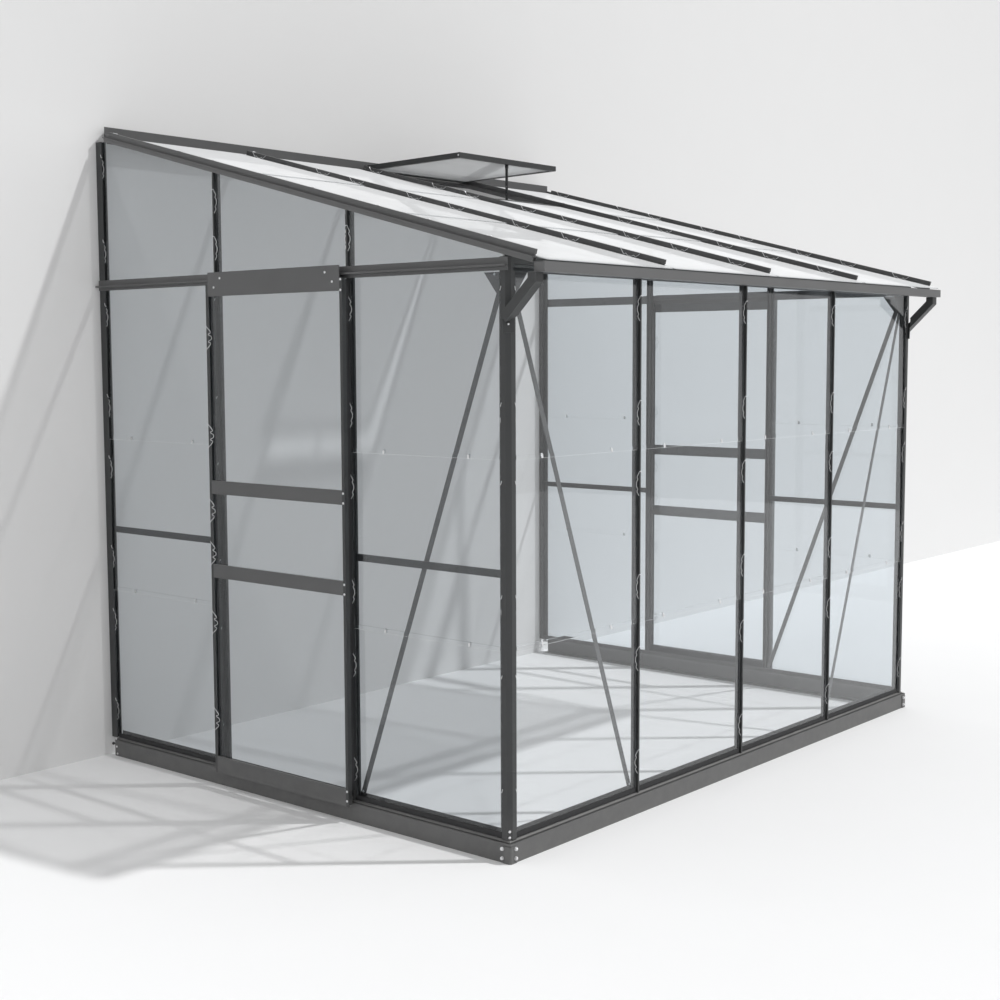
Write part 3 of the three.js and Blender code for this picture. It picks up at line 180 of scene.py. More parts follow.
# Screws, nuts and bolts, in metres, as radius and height from the face they sit on
WASHER = ((0, 0), (0.0060, 0), (0.0060, 0.0009), (0.0056, 0.0012), (0, 0.0012))
NUT = ((0, 0.0012), (0.0052, 0.0012), (0.0057, 0.0018), (0.0057, 0.0042), (0.0050, 0.0050), (0, 0.0050))
THREAD_END = ((0, 0.0050), (0.0029, 0.0050), (0.0029, 0.0061), (0.0022, 0.0068), (0, 0.0068))
PAN_HEAD = (
    (0, 0), (0.0038, 0), (0.0040, 0.0006), (0.0034, 0.0017),
    (0.0022, 0.0023), (0.0014, 0.0024), (0.0013, 0.0010), (0, 0.0009))
ANCHOR = (
    (0, -0.001), (0.0030, -0.001), (0.0030, 0.016), (0.0052, 0.017),
    (0.0052, 0.021), (0.0040, 0.022), (0, 0.022))
WASHER_SIDES = 20
NUT_SIDES = 6
THREAD_SIDES = 12
SCREW_SIDES = 16

# Where they sit, in metres
WRAP_NUT_HEIGHTS = (0.0145, 0.042)
WRAP_NUT_IN = 0.0069
BRACKET_NUT_HEIGHT = 1.528
BRACKET_OUT = 0.0113
POST_SCREW_HEIGHTS = (0.0715, 0.089)
POST_OUT = 0.00849
ANCHOR_PLACE = (1.2585, 0.9805, 0.040)
BASE_END_SCREWS = ((0.9666, 0.0085), (0.970, 0.034))
GABLE_BRACE_FACE = 1.2337
GABLE_BRACE_SCREWS = ((-0.270, 0.0925), (-0.8145, 1.6680))
FRONT_BRACE_SCREW = (0.6436, -0.8602, 0.0925)
VENT_SCREWS = ((0.4270, 2.2240), (0.936, 2.2188))
STILE_SCREW_HEIGHTS = (0.0685, 0.0985, 0.716, 0.746, 0.996, 1.026, 1.640, 1.672)
DOOR_PLATE_SCREWS = ((0.278, 1.666), (0.247, 1.695))

# Cover strips of the rafters, in metres, as across and out, and along the roof
CAP_SECTION = (
    (-0.0044, 0.0084), (-0.0044, 0.0214), (-0.0038, 0.0220), (0.0038, 0.0220), (0.0044, 0.0214),
    (0.0044, 0.0084), (0.0032, 0.0084), (0.0032, 0.0133), (-0.0032, 0.0133), (-0.0032, 0.0084))
CAP_BRIDGE = ((-0.0031, 0.0133), (-0.0031, 0.0220), (0.0031, 0.0220), (0.0031, 0.0133))
CAP_START = -0.1000
CAP_END = 1.8740
CAP_SILL_START = 1.3145
CAP_SILL_END = 1.3435
CAP_HINGE_END = 1.8570

# Brushes, pane edges and rubber seals, in metres
BRUSH_SECTION = ((0.0010, 0.0154), (0.0100, 0.0154), (0.0106, 0.0279), (0.0004, 0.0279))
BRUSH_FOOT = 0.100
BRUSH_HEAD = 1.674
LAP_EDGE_IN = 0.012
LAP_EDGE = 0.0006
LAP_GAP = 0.0001
LAP_SECTION = (
    (-LAP_EDGE, GLASS_FACE + LAP_GAP), (-LAP_GAP, GLASS_FACE + LAP_GAP),
    (-LAP_GAP, GLASS_FACE + GLASS), (-LAP_EDGE, GLASS_FACE + GLASS))
SEAL_LIP = (
    (0.0, -0.0014), (0.0010, -0.0014), (0.0013, 0.0004),
    (0.0011, 0.00165), (0.0003, 0.00165), (0.0, 0.0008))
SEAL_EDGE = 0.01405
SEAL_EDGE_POST = 0.02805
SEAL_END_GAP = 0.001
SEAL_IN_BAR = 0.016
SEAL_IN_POST = 0.031
SEAL_UNDER_ROOF = 0.022
ROOF_SEAL_START = -0.09
ROOF_SEAL_END = 1.30
FOOT_SEAL = ((0.0650, 0.0048), (0.0650, 0.0066), (0.0800, 0.0066), (0.0812, 0.0060), (0.0812, 0.0048))
FOOT_SEAL_AT_BAR = 0.0075
FOOT_SEAL_AT_POST = 0.0205
CREASE = math.radians(35)

# Floor, wall and light
STAGE_REACH = 9.0
STAGE_TOP = 7.0
STAGE_GAP = 0.002
STAGE_CLOUD_SIZE = 3.0
STAGE_CLOUD_DETAIL = 4.0
STAGE_CLOUD_DARK = 0.985
STAGE_ROUGHNESS = 0.9
SKY_STRENGTH = 0.68
SUN_STRENGTH = 1.8
SUN_PLACE = (3.64, -4.0, 7.4)
SUN_ANGLE = math.radians(2.0)
LIGHT_BOUNCES = 24


# Camera

def make_camera():
    data = bpy.data.cameras.new("camera")
    data.sensor_width = SENSOR
    data.lens = CAMERA_LENS
    data.clip_end = CAMERA_FAR
    camera = bpy.data.objects.new("camera", data)
    bpy.context.scene.collection.objects.link(camera)
    yaw, pitch, roll = (math.radians(a) for a in (CAMERA_YAW, CAMERA_PITCH, CAMERA_ROLL))
    forward = Vector((math.sin(yaw) * math.cos(pitch), math.cos(yaw) * math.cos(pitch), -math.sin(pitch)))
    level = Vector((math.cos(yaw), -math.sin(yaw), 0))
    over = level.cross(forward)
    right = math.cos(roll) * level + math.sin(roll) * over
    up = -math.sin(roll) * level + math.cos(roll) * over
    turn = Matrix((right, up, -forward)).transposed()
    camera.matrix_world = Matrix.Translation(CAMERA_PLACE) @ turn.to_4x4()
    bpy.context.scene.camera = camera


# Node helpers

def link(tree, source, target):
    tree.links.new(source, target)


def set_or_link(tree, value, socket):
    if isinstance(value, (int, float)):
        socket.default_value = value
    else:
        link(tree, value, socket)


def math_node(tree, operation, a, b=None, clamp=False):
    node = tree.nodes.new("ShaderNodeMath")
    node.operation = operation
    node.use_clamp = clamp
    set_or_link(tree, a, node.inputs[0])
    if b is not None:
        set_or_link(tree, b, node.inputs[1])
    return node.outputs[0]


def object_place(tree):
    return tree.nodes.new("ShaderNodeTexCoord").outputs["Object"]


def height_and_side(tree):
    split = tree.nodes.new("ShaderNodeSeparateXYZ")
    link(tree, object_place(tree), split.inputs[0])
    return split.outputs


def geometry(tree, output):
    return tree.nodes.new("ShaderNodeNewGeometry").outputs[output]


def noise(tree, place, scale, detail=2.0):
    node = tree.nodes.new("ShaderNodeTexNoise")
    link(tree, place, node.inputs["Vector"])
    node.inputs["Detail"].default_value = detail
    set_or_link(tree, scale, node.inputs["Scale"])
    return node.outputs["Fac"]


def mix_colour(tree, share, low, high):
    node = tree.nodes.new("ShaderNodeMix")
    node.data_type = "RGBA"
    link(tree, share, node.inputs["Factor"])
    for socket, value in ((node.inputs[6], low), (node.inputs[7], high)):
        if isinstance(value, tuple):
            socket.default_value = (*value, 1)
        else:
            link(tree, value, socket)
    return node.outputs[2]


def mix_shaders(tree, share, first, second):
    node = tree.nodes.new("ShaderNodeMixShader")
    link(tree, share, node.inputs["Fac"])
    link(tree, first, node.inputs[1])
    link(tree, second, node.inputs[2])
    return node.outputs[0]


def spread(tree, value, low, high):
    node = tree.nodes.new("ShaderNodeMapRange")
    link(tree, value, node.inputs["Value"])
    node.inputs["To Min"].default_value = low
    node.inputs["To Max"].default_value = high
    return node.outputs["Result"]


def bump(tree, height, strength, distance):
    node = tree.nodes.new("ShaderNodeBump")
    node.inputs["Strength"].default_value = strength
    node.inputs["Distance"].default_value = distance
    link(tree, height, node.inputs["Height"])
    return node.outputs["Normal"]


def scaled(colour, factor):
    return tuple(c * factor for c in colour)


# Shared effects for the finishes

def new_group(name, inputs, output_names):
    group = bpy.data.node_groups.new(name, "ShaderNodeTree")
    for label, value in inputs:
        socket = group.interface.new_socket(name=label, in_out="INPUT", socket_type="NodeSocketFloat")
        socket.default_value = value
    for label in output_names:
        group.interface.new_socket(name=label, in_out="OUTPUT", socket_type="NodeSocketFloat")
    return group, group.nodes.new("NodeGroupInput"), group.nodes.new("NodeGroupOutput")


# Tiny dimples and soft clouds of a baked powder coat
def coat_texture_group():
    group, into, out = new_group(
        "powder coat texture", [("Size", 900.0), ("Cloud Size", 6.0)], ["Height", "Cloud"])
    place = object_place(group)
    link(group, noise(group, place, into.outputs["Size"]), out.inputs["Height"])
    link(group, noise(group, place, into.outputs["Cloud Size"], CLOUD_DETAIL), out.inputs["Cloud"])
    return group


# Dust that lies on faces that look up, and splashes near the ground
def dust_group():
    group, into, out = new_group("settled dust", [("Amount", 0.4), ("Splash Height", 0.25)], ["Dust"])
    place = object_place(group)
    split = group.nodes.new("ShaderNodeSeparateXYZ")
    link(group, place, split.inputs[0])
    facing = group.nodes.new("ShaderNodeSeparateXYZ")
    link(group, geometry(group, "Normal"), facing.inputs[0])
    up = math_node(group, "MULTIPLY", math_node(group, "MAXIMUM", facing.outputs["Z"], 0.0), DUST_ON_TOP)
    rise = math_node(group, "DIVIDE", split.outputs["Z"], into.outputs["Splash Height"])
    splash = math_node(group, "SUBTRACT", SPLASH_START, rise, True)
    patch = noise(group, place, DUST_PATCH_SIZE, DUST_PATCH_DETAIL)
    both = math_node(group, "ADD", up, splash)
    patched = math_node(group, "MULTIPLY", both, patch)
    dust = math_node(group, "MULTIPLY", patched, into.outputs["Amount"], True)
    link(group, dust, out.inputs["Dust"])
    return group


# Lighter line along the edges, partly rubbed coat and partly a painted highlight, from the difference between
# the true and the rounded normal
def edge_wear_and_highlight_group():
    group, into, out = new_group("edge wear and painted highlight", [("Width", 0.0015), ("Strength", 1.0)], ["Edge"])
    bevel = group.nodes.new("ShaderNodeBevel")
    bevel.samples = BEVEL_SAMPLES
    link(group, into.outputs["Width"], bevel.inputs["Radius"])
    dot = group.nodes.new("ShaderNodeVectorMath")
    dot.operation = "DOT_PRODUCT"
    link(group, bevel.outputs["Normal"], dot.inputs[0])
    link(group, geometry(group, "Normal"), dot.inputs[1])
    off = math_node(group, "SUBTRACT", 1.0, dot.outputs["Value"])
    link(group, math_node(group, "MULTIPLY", off, into.outputs["Strength"], True), out.inputs["Edge"])
    return group


# One where a point lies beyond a distance from the door's middle line, so on a stile, which takes the darker
# coat as painted shade
def stile_painted_shade_group():
    group, into, out = new_group(
        "door stile painted shade", [("Middle", DOOR_MIDDLE), ("Reach", DOOR_HALF - STILE_FLANGE)], ["Stile"])
    off_middle = math_node(group, "SUBTRACT", height_and_side(group)["Y"], into.outputs["Middle"])
    aside = math_node(group, "ABSOLUTE", off_middle)
    link(group, math_node(group, "GREATER_THAN", aside, into.outputs["Reach"]), out.inputs["Stile"])
    return group


# One below a height, so on the base's face and on what hangs under the gutter. It sets painted shade apart:
# above the base's face, below the gutter's bottom.
def painted_shade_split_group():
    group, into, out = new_group("painted shade split at a height", [("Height", 1.0)], ["Below"])
    below = math_node(group, "LESS_THAN", height_and_side(group)["Z"], into.outputs["Height"])
    link(group, below, out.inputs["Below"])
    return group


COAT_TEXTURE = coat_texture_group()
DUST = dust_group()
EDGE_WEAR_AND_HIGHLIGHT = edge_wear_and_highlight_group()
STILE_PAINTED_SHADE = stile_painted_shade_group()
PAINTED_SHADE_SPLIT = painted_shade_split_group()


def place_group(tree, group, **values):
    node = tree.nodes.new("ShaderNodeGroup")
    node.node_tree = group
    for label, value in values.items():
        node.inputs[label.replace("_", " ")].default_value = value
    return node.outputs


# Finishes

def new_material(name):
    material = bpy.data.materials.new(name)
    material.use_nodes = True
    tree = material.node_tree
    return material, tree, tree.nodes["Principled BSDF"]


def finish_surface(tree, shader_output):
    link(tree, shader_output, tree.nodes["Material Output"].inputs["Surface"])


def clouded(tree, cloud, colour):
    return mix_colour(tree, cloud, scaled(colour, CLOUD_DARK), scaled(colour, CLOUD_LIGHT))


# Powder coat on aluminium. A mask can give part of it a second colour; the masks here set painted light and
# painted shade apart.
def coated_aluminium(name, colour, dust=COAT_DUST, mask=None, second=None, **values):
    material, tree, shader = new_material(name)
    texture = place_group(tree, COAT_TEXTURE)
    settled = place_group(tree, DUST, Amount=dust)
    edge = place_group(tree, EDGE_WEAR_AND_HIGHLIGHT, Strength=EDGE_STRENGTH)
    body = clouded(tree, texture["Cloud"], colour)
    if mask:
        share = place_group(tree, mask, **values)[0]
        body = mix_colour(tree, share, body, clouded(tree, texture["Cloud"], second))
    # Edges lighter: rubbed coat and a painted highlight
    lined = mix_colour(tree, edge["Edge"], body, scaled(colour, EDGE_WEAR_AND_HIGHLIGHT_LIGHTER))
    dusty = mix_colour(tree, settled["Dust"], lined, SETTLED_DUST)
    roughness = spread(tree, texture["Cloud"],
                       COAT_ROUGHNESS - COAT_ROUGHNESS_DOWN, COAT_ROUGHNESS + COAT_ROUGHNESS_UP)
    link(tree, dusty, shader.inputs["Base Color"])
    link(tree, roughness, shader.inputs["Roughness"])
    link(tree, bump(tree, texture["Height"], *COAT_BUMP), shader.inputs["Normal"])
    return material


# A pale film that grows where the glass is seen at a flat angle: dust on the glass and a painted sheen
def filmed_with_sheen(tree, place, surface, film_and_sheen):
    dust = tree.nodes.new("ShaderNodeBsdfDiffuse")
    streaks = noise(tree, place, FILM_STREAK_SIZE, CLOUD_DETAIL)
    colour = mix_colour(tree, streaks, scaled(GLASS_FILM_AND_SHEEN, FILM_STREAK_DARK), GLASS_FILM_AND_SHEEN)
    link(tree, colour, dust.inputs["Color"])
    grazing = tree.nodes.new("ShaderNodeLayerWeight")
    grazing.inputs["Blend"].default_value = FILM_BLEND
    slant = math_node(tree, "POWER", grazing.outputs["Facing"], FILM_POWER)
    return mix_shaders(tree, math_node(tree, "MULTIPLY", slant, film_and_sheen), surface, dust.outputs[0])


# Clear glass. The light that it lets through to other surfaces is dimmed to the shade.
def clear_glass(name, tint, shade, film_and_sheen=0.0):
    material, tree, shader = new_material(name)
    shader.inputs["Base Color"].default_value = (*tint, 1)
    shader.inputs["Roughness"].default_value = 0.0
    shader.inputs["IOR"].default_value = GLASS_IOR
    shader.inputs["Transmission Weight"].default_value = 1.0
    place = object_place(tree)
    link(tree, bump(tree, noise(tree, place, GLASS_WAVE_SIZE), *GLASS_WAVE_BUMP), shader.inputs["Normal"])
    surface = shader.outputs[0]
    if film_and_sheen:
        surface = filmed_with_sheen(tree, place, surface, film_and_sheen)
    through = tree.nodes.new("ShaderNodeBsdfTransparent")
    through.inputs["Color"].default_value = (shade, shade, shade, 1)
    paths = tree.nodes.new("ShaderNodeLightPath").outputs
    dimmed = math_node(tree, "ADD", paths["Is Shadow Ray"], paths["Is Diffuse Ray"], True)
    finish_surface(tree, mix_shaders(tree, dimmed, surface, through.outputs[0]))
    return material


def moulded(name, colour, grain, roughness):
    material, tree, shader = new_material(name)
    texture = place_group(tree, COAT_TEXTURE, Size=grain, Cloud_Size=MOULDED_CLOUD_SIZE)
    lighter = tuple(min(c, MOULDED_LIGHTEST) for c in scaled(colour, MOULDED_LIGHTER))
    rough = spread(tree, texture["Cloud"],
                   roughness - MOULDED_ROUGHNESS_SPREAD, roughness + MOULDED_ROUGHNESS_SPREAD)
    link(tree, mix_colour(tree, texture["Cloud"], colour, lighter), shader.inputs["Base Color"])
    link(tree, rough, shader.inputs["Roughness"])
    link(tree, bump(tree, texture["Height"], *MOULDED_BUMP), shader.inputs["Normal"])
    return material


def bright_steel(name, colour):
    material, tree, shader = new_material(name)
    texture = place_group(tree, COAT_TEXTURE, Size=STEEL_GRAIN, Cloud_Size=STEEL_CLOUD_SIZE)
    link(tree, clouded(tree, texture["Cloud"], colour), shader.inputs["Base Color"])
    link(tree, spread(tree, texture["Cloud"], *STEEL_ROUGHNESS), shader.inputs["Roughness"])
    link(tree, bump(tree, texture["Height"], *STEEL_BUMP), shader.inputs["Normal"])
    shader.inputs["Metallic"].default_value = 1.0
    return material


COAT = coated_aluminium("anthracite coat", COAT_GREY)
# Bars, posts, the eave beam and the vent frame take the darker coat, painted shade
COAT_POSTS_PAINTED_SHADE = coated_aluminium("anthracite coat, bars and posts, painted shade", COAT_DARK_PAINTED_SHADE, dust=POST_DUST)
# Doors: the stiles take the darker coat, painted shade
COAT_DOOR_PAINTED_SHADE = coated_aluminium("anthracite coat, doors, stiles in painted shade", COAT_GREY, mask=STILE_PAINTED_SHADE, second=COAT_DARK_PAINTED_SHADE)
# Rafters take the lighter coat, painted light
COAT_RAFTERS_PAINTED_LIGHT = coated_aluminium("anthracite coat, rafters, painted light", COAT_PAINTED_LIGHT)
# Base: plain coat on its face, near black above it as painted shade on the upstand under the glass
COAT_BASE_PAINTED_SHADE = coated_aluminium(
    "anthracite coat, base, painted shade on top", COAT_SHADED, mask=PAINTED_SHADE_SPLIT, second=COAT_GREY, Height=BASE_SHADED_ABOVE)
# Gutter: painted light on its face, painted shade below its bottom
COAT_GUTTER_PAINTED_LIGHT_AND_SHADE = coated_aluminium(
    "anthracite coat, gutter, painted light and shade", COAT_PAINTED_LIGHT, mask=PAINTED_SHADE_SPLIT, second=COAT_DARK_PAINTED_SHADE, Height=GUTTER_BOTTOM)
FRONT_CLEAR = clear_glass("clear glass, front", FRONT_GLASS, FRONT_SHADE)
# Gable glass with a darker tint, painted shade
GABLE_CLEAR = clear_glass("clear glass, gables, darker tint as painted shade", GABLE_GLASS_PAINTED_SHADE, GABLE_SHADE)
# Roof glass with its pale film: dust and a painted sheen
ROOF_CLEAR = clear_glass("clear glass, roof", ROOF_GLASS, ROOF_SHADE, ROOF_FILM_AND_SHEEN)
NYLON = moulded("moulded nylon", NYLON_BLACK, grain=1400.0, roughness=0.46)
RUBBER = moulded("glazing rubber", RUBBER_BLACK, grain=1800.0, roughness=0.62)
STEEL = bright_steel("bright zinc steel", STEEL_GREY)
DARK_STEEL = moulded("blackened steel", BLACK_STEEL, grain=2000.0, roughness=0.40)
GLASS_EDGES = moulded("ground glass edges", GROUND_EDGE, grain=3000.0, roughness=0.35)


def node_finish(name):
    if "roof_glass" in name or "vent_glass" in name:
        return ROOF_CLEAR
    if "front_glass" in name:
        return FRONT_CLEAR
    if "glass" in name:
        return GABLE_CLEAR
    if "roller" in name:
        return NYLON
    if "door_frame" in name:
        return COAT_DOOR_PAINTED_SHADE
    if name == "gutter":
        return COAT_GUTTER_PAINTED_LIGHT_AND_SHADE
    if "rafter" in name:
        return COAT_RAFTERS_PAINTED_LIGHT
    if name.startswith("base"):
        return COAT_BASE_PAINTED_SHADE
    # These take the darker coat, painted shade
    dark = name == "eave_beam" or "post" in name or "vent_" in name
    if dark or ("bar" in name.split("_") and "ridge" not in name):
        return COAT_POSTS_PAINTED_SHADE
    return COAT


def dress_nodes():
    for name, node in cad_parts.items():
        node.data.materials.clear()
        node.data.materials.append(node_finish(name))


# Places on the greenhouse's faces, from a distance across, along and out of the glazing plane

def front_face(bars):
    x = bars * BAY - HALF_SPAN
    return lambda across, along, out: Vector((x + across, BAR_LINE - out, along))


def front_end_face(turn):
    return lambda across, along, out: Vector((turn * HALF_SPAN + across, BAR_LINE - out, along))


def gable_face(side, y):
    return lambda across, along, out: Vector((SIDES[side] * (HALF_SPAN + out), y + across, along))


def roof_face(bars):
    eave = Vector((bars * BAY - HALF_SPAN, BAR_LINE, ROOF_HEIGHT))
    up = Vector((0, math.cos(ROOF_SLOPE), math.sin(ROOF_SLOPE)))
    away = Vector((0, -math.sin(ROOF_SLOPE), math.cos(ROOF_SLOPE)))
    return lambda across, along, out: eave + Vector((across, 0, 0)) + along * up + out * away


# The rows of rafters, each with the sides on which it carries glass
def rafter_rows():
    for k in range(FRONT_BAYS + 1):
        yield k, (1,) if k == 0 else (-1,) if k == FRONT_BAYS else (1, -1)


# How far the outer face of the lapped panes stands out at a height
def glass_face(along, low=PANE_BOTTOM, rise=PANE_RISE, panes=WALL_PANES):
    pane = min(int((along - low) / rise), panes - 1)
    if pane <= 0:
        return GLASS_FACE
    return GLASS_FACE + GLASS * (1 - min((along - low - pane * rise) / rise, 1))


# Mesh shapes

def new_piece(name, shape, material, body):
    mesh = bpy.data.meshes.new(name)
    bm = bmesh.new()
    shape(bm)
    bmesh.ops.recalc_face_normals(bm, faces=bm.faces)
    bm.to_mesh(mesh)
    bm.free()
    mesh.shade_smooth()
    mesh.set_sharp_from_angle(angle=CREASE)
    mesh.materials.append(material)
    piece = bpy.data.objects.new(name, mesh)
    bpy.context.scene.collection.objects.link(piece)
    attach(piece, body)


# Faces between rings of points. A ring of one point closes to a tip.
def skin(bm, rings, closed_ends=True):
    for low, high in zip(rings, rings[1:]):
        count = max(len(low), len(high))
        for k in range(count):
            after = (k + 1) % count
            if len(low) == 1:
                bm.faces.new((low[0], high[after], high[k]))
            elif len(high) == 1:
                bm.faces.new((low[k], low[after], high[0]))
            else:
                bm.faces.new((low[k], low[after], high[after], high[k]))
    if closed_ends:
        bm.faces.new(rings[0][::-1])
        bm.faces.new(rings[-1])


def circle(centre, side, over, radius, count):
    turns = (2 * math.pi * k / count for k in range(count))
    return [centre + radius * (math.cos(a) * side + math.sin(a) * over) for a in turns]


# A smooth line through the points
def rounded(points, steps):
    last = len(points) - 1
    smooth = []
    for i in range(last):
        a, b, c, d = points[max(i - 1, 0)], points[i], points[i + 1], points[min(i + 2, last)]
        for k in range(steps):
            t = k / steps
            smooth.append(0.5 * (2 * b + (c - a) * t + (2 * a - 5 * b + 4 * c - d) * t * t
                                 + (3 * b - a - 3 * c + d) * t ** 3))
    return smooth + [points[-1]]


def wire(bm, points):
    points = rounded(points, WIRE_STEPS)
    rings = []
    side = None
    for i, point in enumerate(points):
        way = (points[min(i + 1, len(points) - 1)] - points[max(i - 1, 0)]).normalized()
        side = way.orthogonal() if side is None else side - way * side.dot(way)
        side.normalize()
        rings.append([bm.verts.new(p) for p in circle(point, side, way.cross(side), WIRE_RADIUS, WIRE_SIDES)])
    skin(bm, rings)


def turned(bm, centre, axis, profile, sides):
    way = axis.normalized()
    side = way.orthogonal().normalized()
    rings = []
    for radius, height in profile:
        middle = centre + way * height
        points = circle(middle, side, way.cross(side), radius, sides) if radius else [middle]
        rings.append([bm.verts.new(p) for p in points])
    skin(bm, rings, False)


# A section of (across, out) points drawn along a face
def lath(bm, at, section, start, end):
    skin(bm, [[bm.verts.new(at(across, along, out)) for across, out in section] for along in (start, end)])


# A section of (along, out) points drawn across a face
def cross_lath(bm, at, section, start, end, joint=0.0):
    skin(bm, [[bm.verts.new(at(across, joint + along, out)) for along, out in section]
              for across in (start, end)])


# A metal strip bent along a path of (along, out) points, its width across
def bent_strip(bm, at, path, width, wall):
    flat = [Vector(p) for p in path]
    sides = ([], [])
    for i, point in enumerate(flat):
        way = (flat[min(i + 1, len(flat) - 1)] - flat[max(i - 1, 0)]).normalized()
        normal = Vector((-way.y, way.x)) * wall / 2
        sides[0].append(point + normal)
        sides[1].append(point - normal)
    ends = (-width / 2, width / 2)
    rings = [[bm.verts.new(at(across, *edge[i])) for across, edge in
              ((ends[0], sides[0]), (ends[1], sides[0]), (ends[1], sides[1]), (ends[0], sides[1]))]
             for i in range(len(flat))]
    skin(bm, rings)


# Wire clips that press the panes against the bars

def clip_half(hold, side, seat):
    bow = [(side * (hold["start"] + hold["reach"] * across), along, seat + share * (hold["under"] - seat))
           for across, along, share in CLIP_BOW]
    turn = (side * hold["edge"], CLIP_TURN, (hold["under"] + hold["over"]) / 2)
    over = (side * (hold["edge"] - CLIP_TIP), CLIP_TOP, hold["over"])
    return bow + [turn, over]


def wire_clip(bm, at, along, face, sides, hold=BAR_HOLD):
    seat = face + WIRE_RADIUS + WIRE_GAP
    path = clip_half(hold, sides[0], seat)
    if len(sides) > 1:
        path += clip_half(hold, sides[1], seat)[::-1]
    else:
        path.append((sides[0] * hold["tip"], CLIP_TOP + CLIP_CROSSING, hold["over"]))
    wire(bm, [at(across, along + rise, out) for across, rise, out in path])


def front_clips(bm):
    for z in CLIP_HEIGHTS:
        for k in range(1, FRONT_BAYS):
            wire_clip(bm, front_face(k), z, glass_face(z), (1, -1))
        for turn in SIDES.values():
            wire_clip(bm, front_end_face(turn), z, glass_face(z), (-turn,), POST_HOLD)


def gable_clips(side):
    def shape(bm):
        for z in CLIP_HEIGHTS:
            wire_clip(bm, gable_face(side, BAR_LINE), z, glass_face(z), (1,), POST_HOLD)
            wire_clip(bm, gable_face(side, BAR_LINE + BAY), z, glass_face(z), (-1,))
            wire_clip(bm, gable_face(side, BAR_LINE + 2 * BAY), z, glass_face(z), (1,))
            wire_clip(bm, gable_face(side, WALL_POST_LINE), z, glass_face(z), (-1,), POST_HOLD)
        for bar, heights in CLIP_HEIGHTS_OVER_TRACK.items():
            for z in heights:
                face = glass_face(z, panes=WALL_PANES + 1)
                wire_clip(bm, gable_face(side, BAR_LINE + bar * BAY), z, face, (1, -1))
        for z in CLIP_HEIGHTS_WALL_POST:
            face = glass_face(z, panes=WALL_PANES + 1)
            wire_clip(bm, gable_face(side, WALL_POST_LINE), z, face, (-1,), POST_HOLD)
    return shape


def roof_clips(bm):
    for k, sides in rafter_rows():
        for run in CLIP_RUNS_ROOF:
            held = sides
            if run > VENT_FOOT and k in (VENT_BAY, VENT_BAY + 1):
                held = (-1,) if k == VENT_BAY else (1,)
            face = glass_face(run, ROOF_PANE_LOW, ROOF_PANE_RISE, ROOF_PANES)
            wire_clip(bm, roof_face(k), run, face, held, CAP_HOLD)


# Wire clips sprung over the outer corner of the wall-side stile
def stile_clips(side):
    def shape(bm):
        at = gable_face(side, DOOR_MIDDLE + DOOR_HALF)
        for z in STILE_CLIP_HEIGHTS:
            wire(bm, [at(across, z + rise, DOOR_FACE + out) for across, rise, out in STILE_CLIP])
    return shape


# Cover strips on the rafters' fins, with only their crowns beside the vent's sill
def rafter_caps(bm):
    for k in range(FRONT_BAYS + 1):
        at = roof_face(k)
        if k in (VENT_BAY, VENT_BAY + 1):
            lath(bm, at, CAP_SECTION, CAP_START, CAP_SILL_START)
            lath(bm, at, CAP_BRIDGE, CAP_SILL_START, CAP_SILL_END)
            lath(bm, at, CAP_SECTION, CAP_SILL_END, CAP_HINGE_END)
        else:
            lath(bm, at, CAP_SECTION, CAP_START, CAP_END)


# Bent strips that hang each pane on the one below

def lap_hooks(bm, at, joint):
    for turn in (-1, 1):
        middle = turn * (BAY / 2 - HOOK_IN)
        bent_strip(bm, lambda across, along, out: at(middle + across, joint + along, out),
                   HOOK_PATH, HOOK_WIDTH, HOOK_WALL)


def wall_joints():
    return [PANE_BOTTOM + lap * PANE_RISE for lap in range(1, WALL_PANES)]


def front_hooks(bm):
    for k in range(FRONT_BAYS):
        for joint in wall_joints():
            lap_hooks(bm, front_face(k + 0.5), joint)


def gable_hooks(side):
    def shape(bm):
        for bay in (0, GABLE_BAYS - 1):
            for joint in wall_joints():
                lap_hooks(bm, gable_face(side, BAR_LINE + (bay + 0.5) * BAY), joint)
    return shape


def roof_hooks(bm):
    for k in range(FRONT_BAYS):
        if k == VENT_BAY:
            lap_hooks(bm, roof_face(k + 0.5), ROOF_PANE_LOW + VENT_BAY_PANE_RISE)
            continue
        for lap in range(1, ROOF_PANES):
            lap_hooks(bm, roof_face(k + 0.5), ROOF_PANE_LOW + lap * ROOF_PANE_RISE)


# Ground lower edges of the upper panes, where each lap shows as a pale line
def lap_edges(bm):
    reach = BAY / 2 - LAP_EDGE_IN
    for joint in wall_joints():
        for k in range(FRONT_BAYS):
            cross_lath(bm, front_face(k + 0.5), LAP_SECTION, -reach, reach, joint)
        for side in SIDES:
            for bay in (0, GABLE_BAYS - 1):
                at = gable_face(side, BAR_LINE + (bay + 0.5) * BAY)
                cross_lath(bm, at, LAP_SECTION, -reach, reach, joint)


# Rubber lips along the edges of the bars, under the glass

def lips(bm, at, edge, sides, start, end):
    for turn in sides:
        lath(bm, at, [(turn * (edge + across), out) for across, out in SEAL_LIP], start, end)


def under_roof(run):
    return ROOF_HEIGHT + run * math.tan(ROOF_SLOPE) - SEAL_UNDER_ROOF


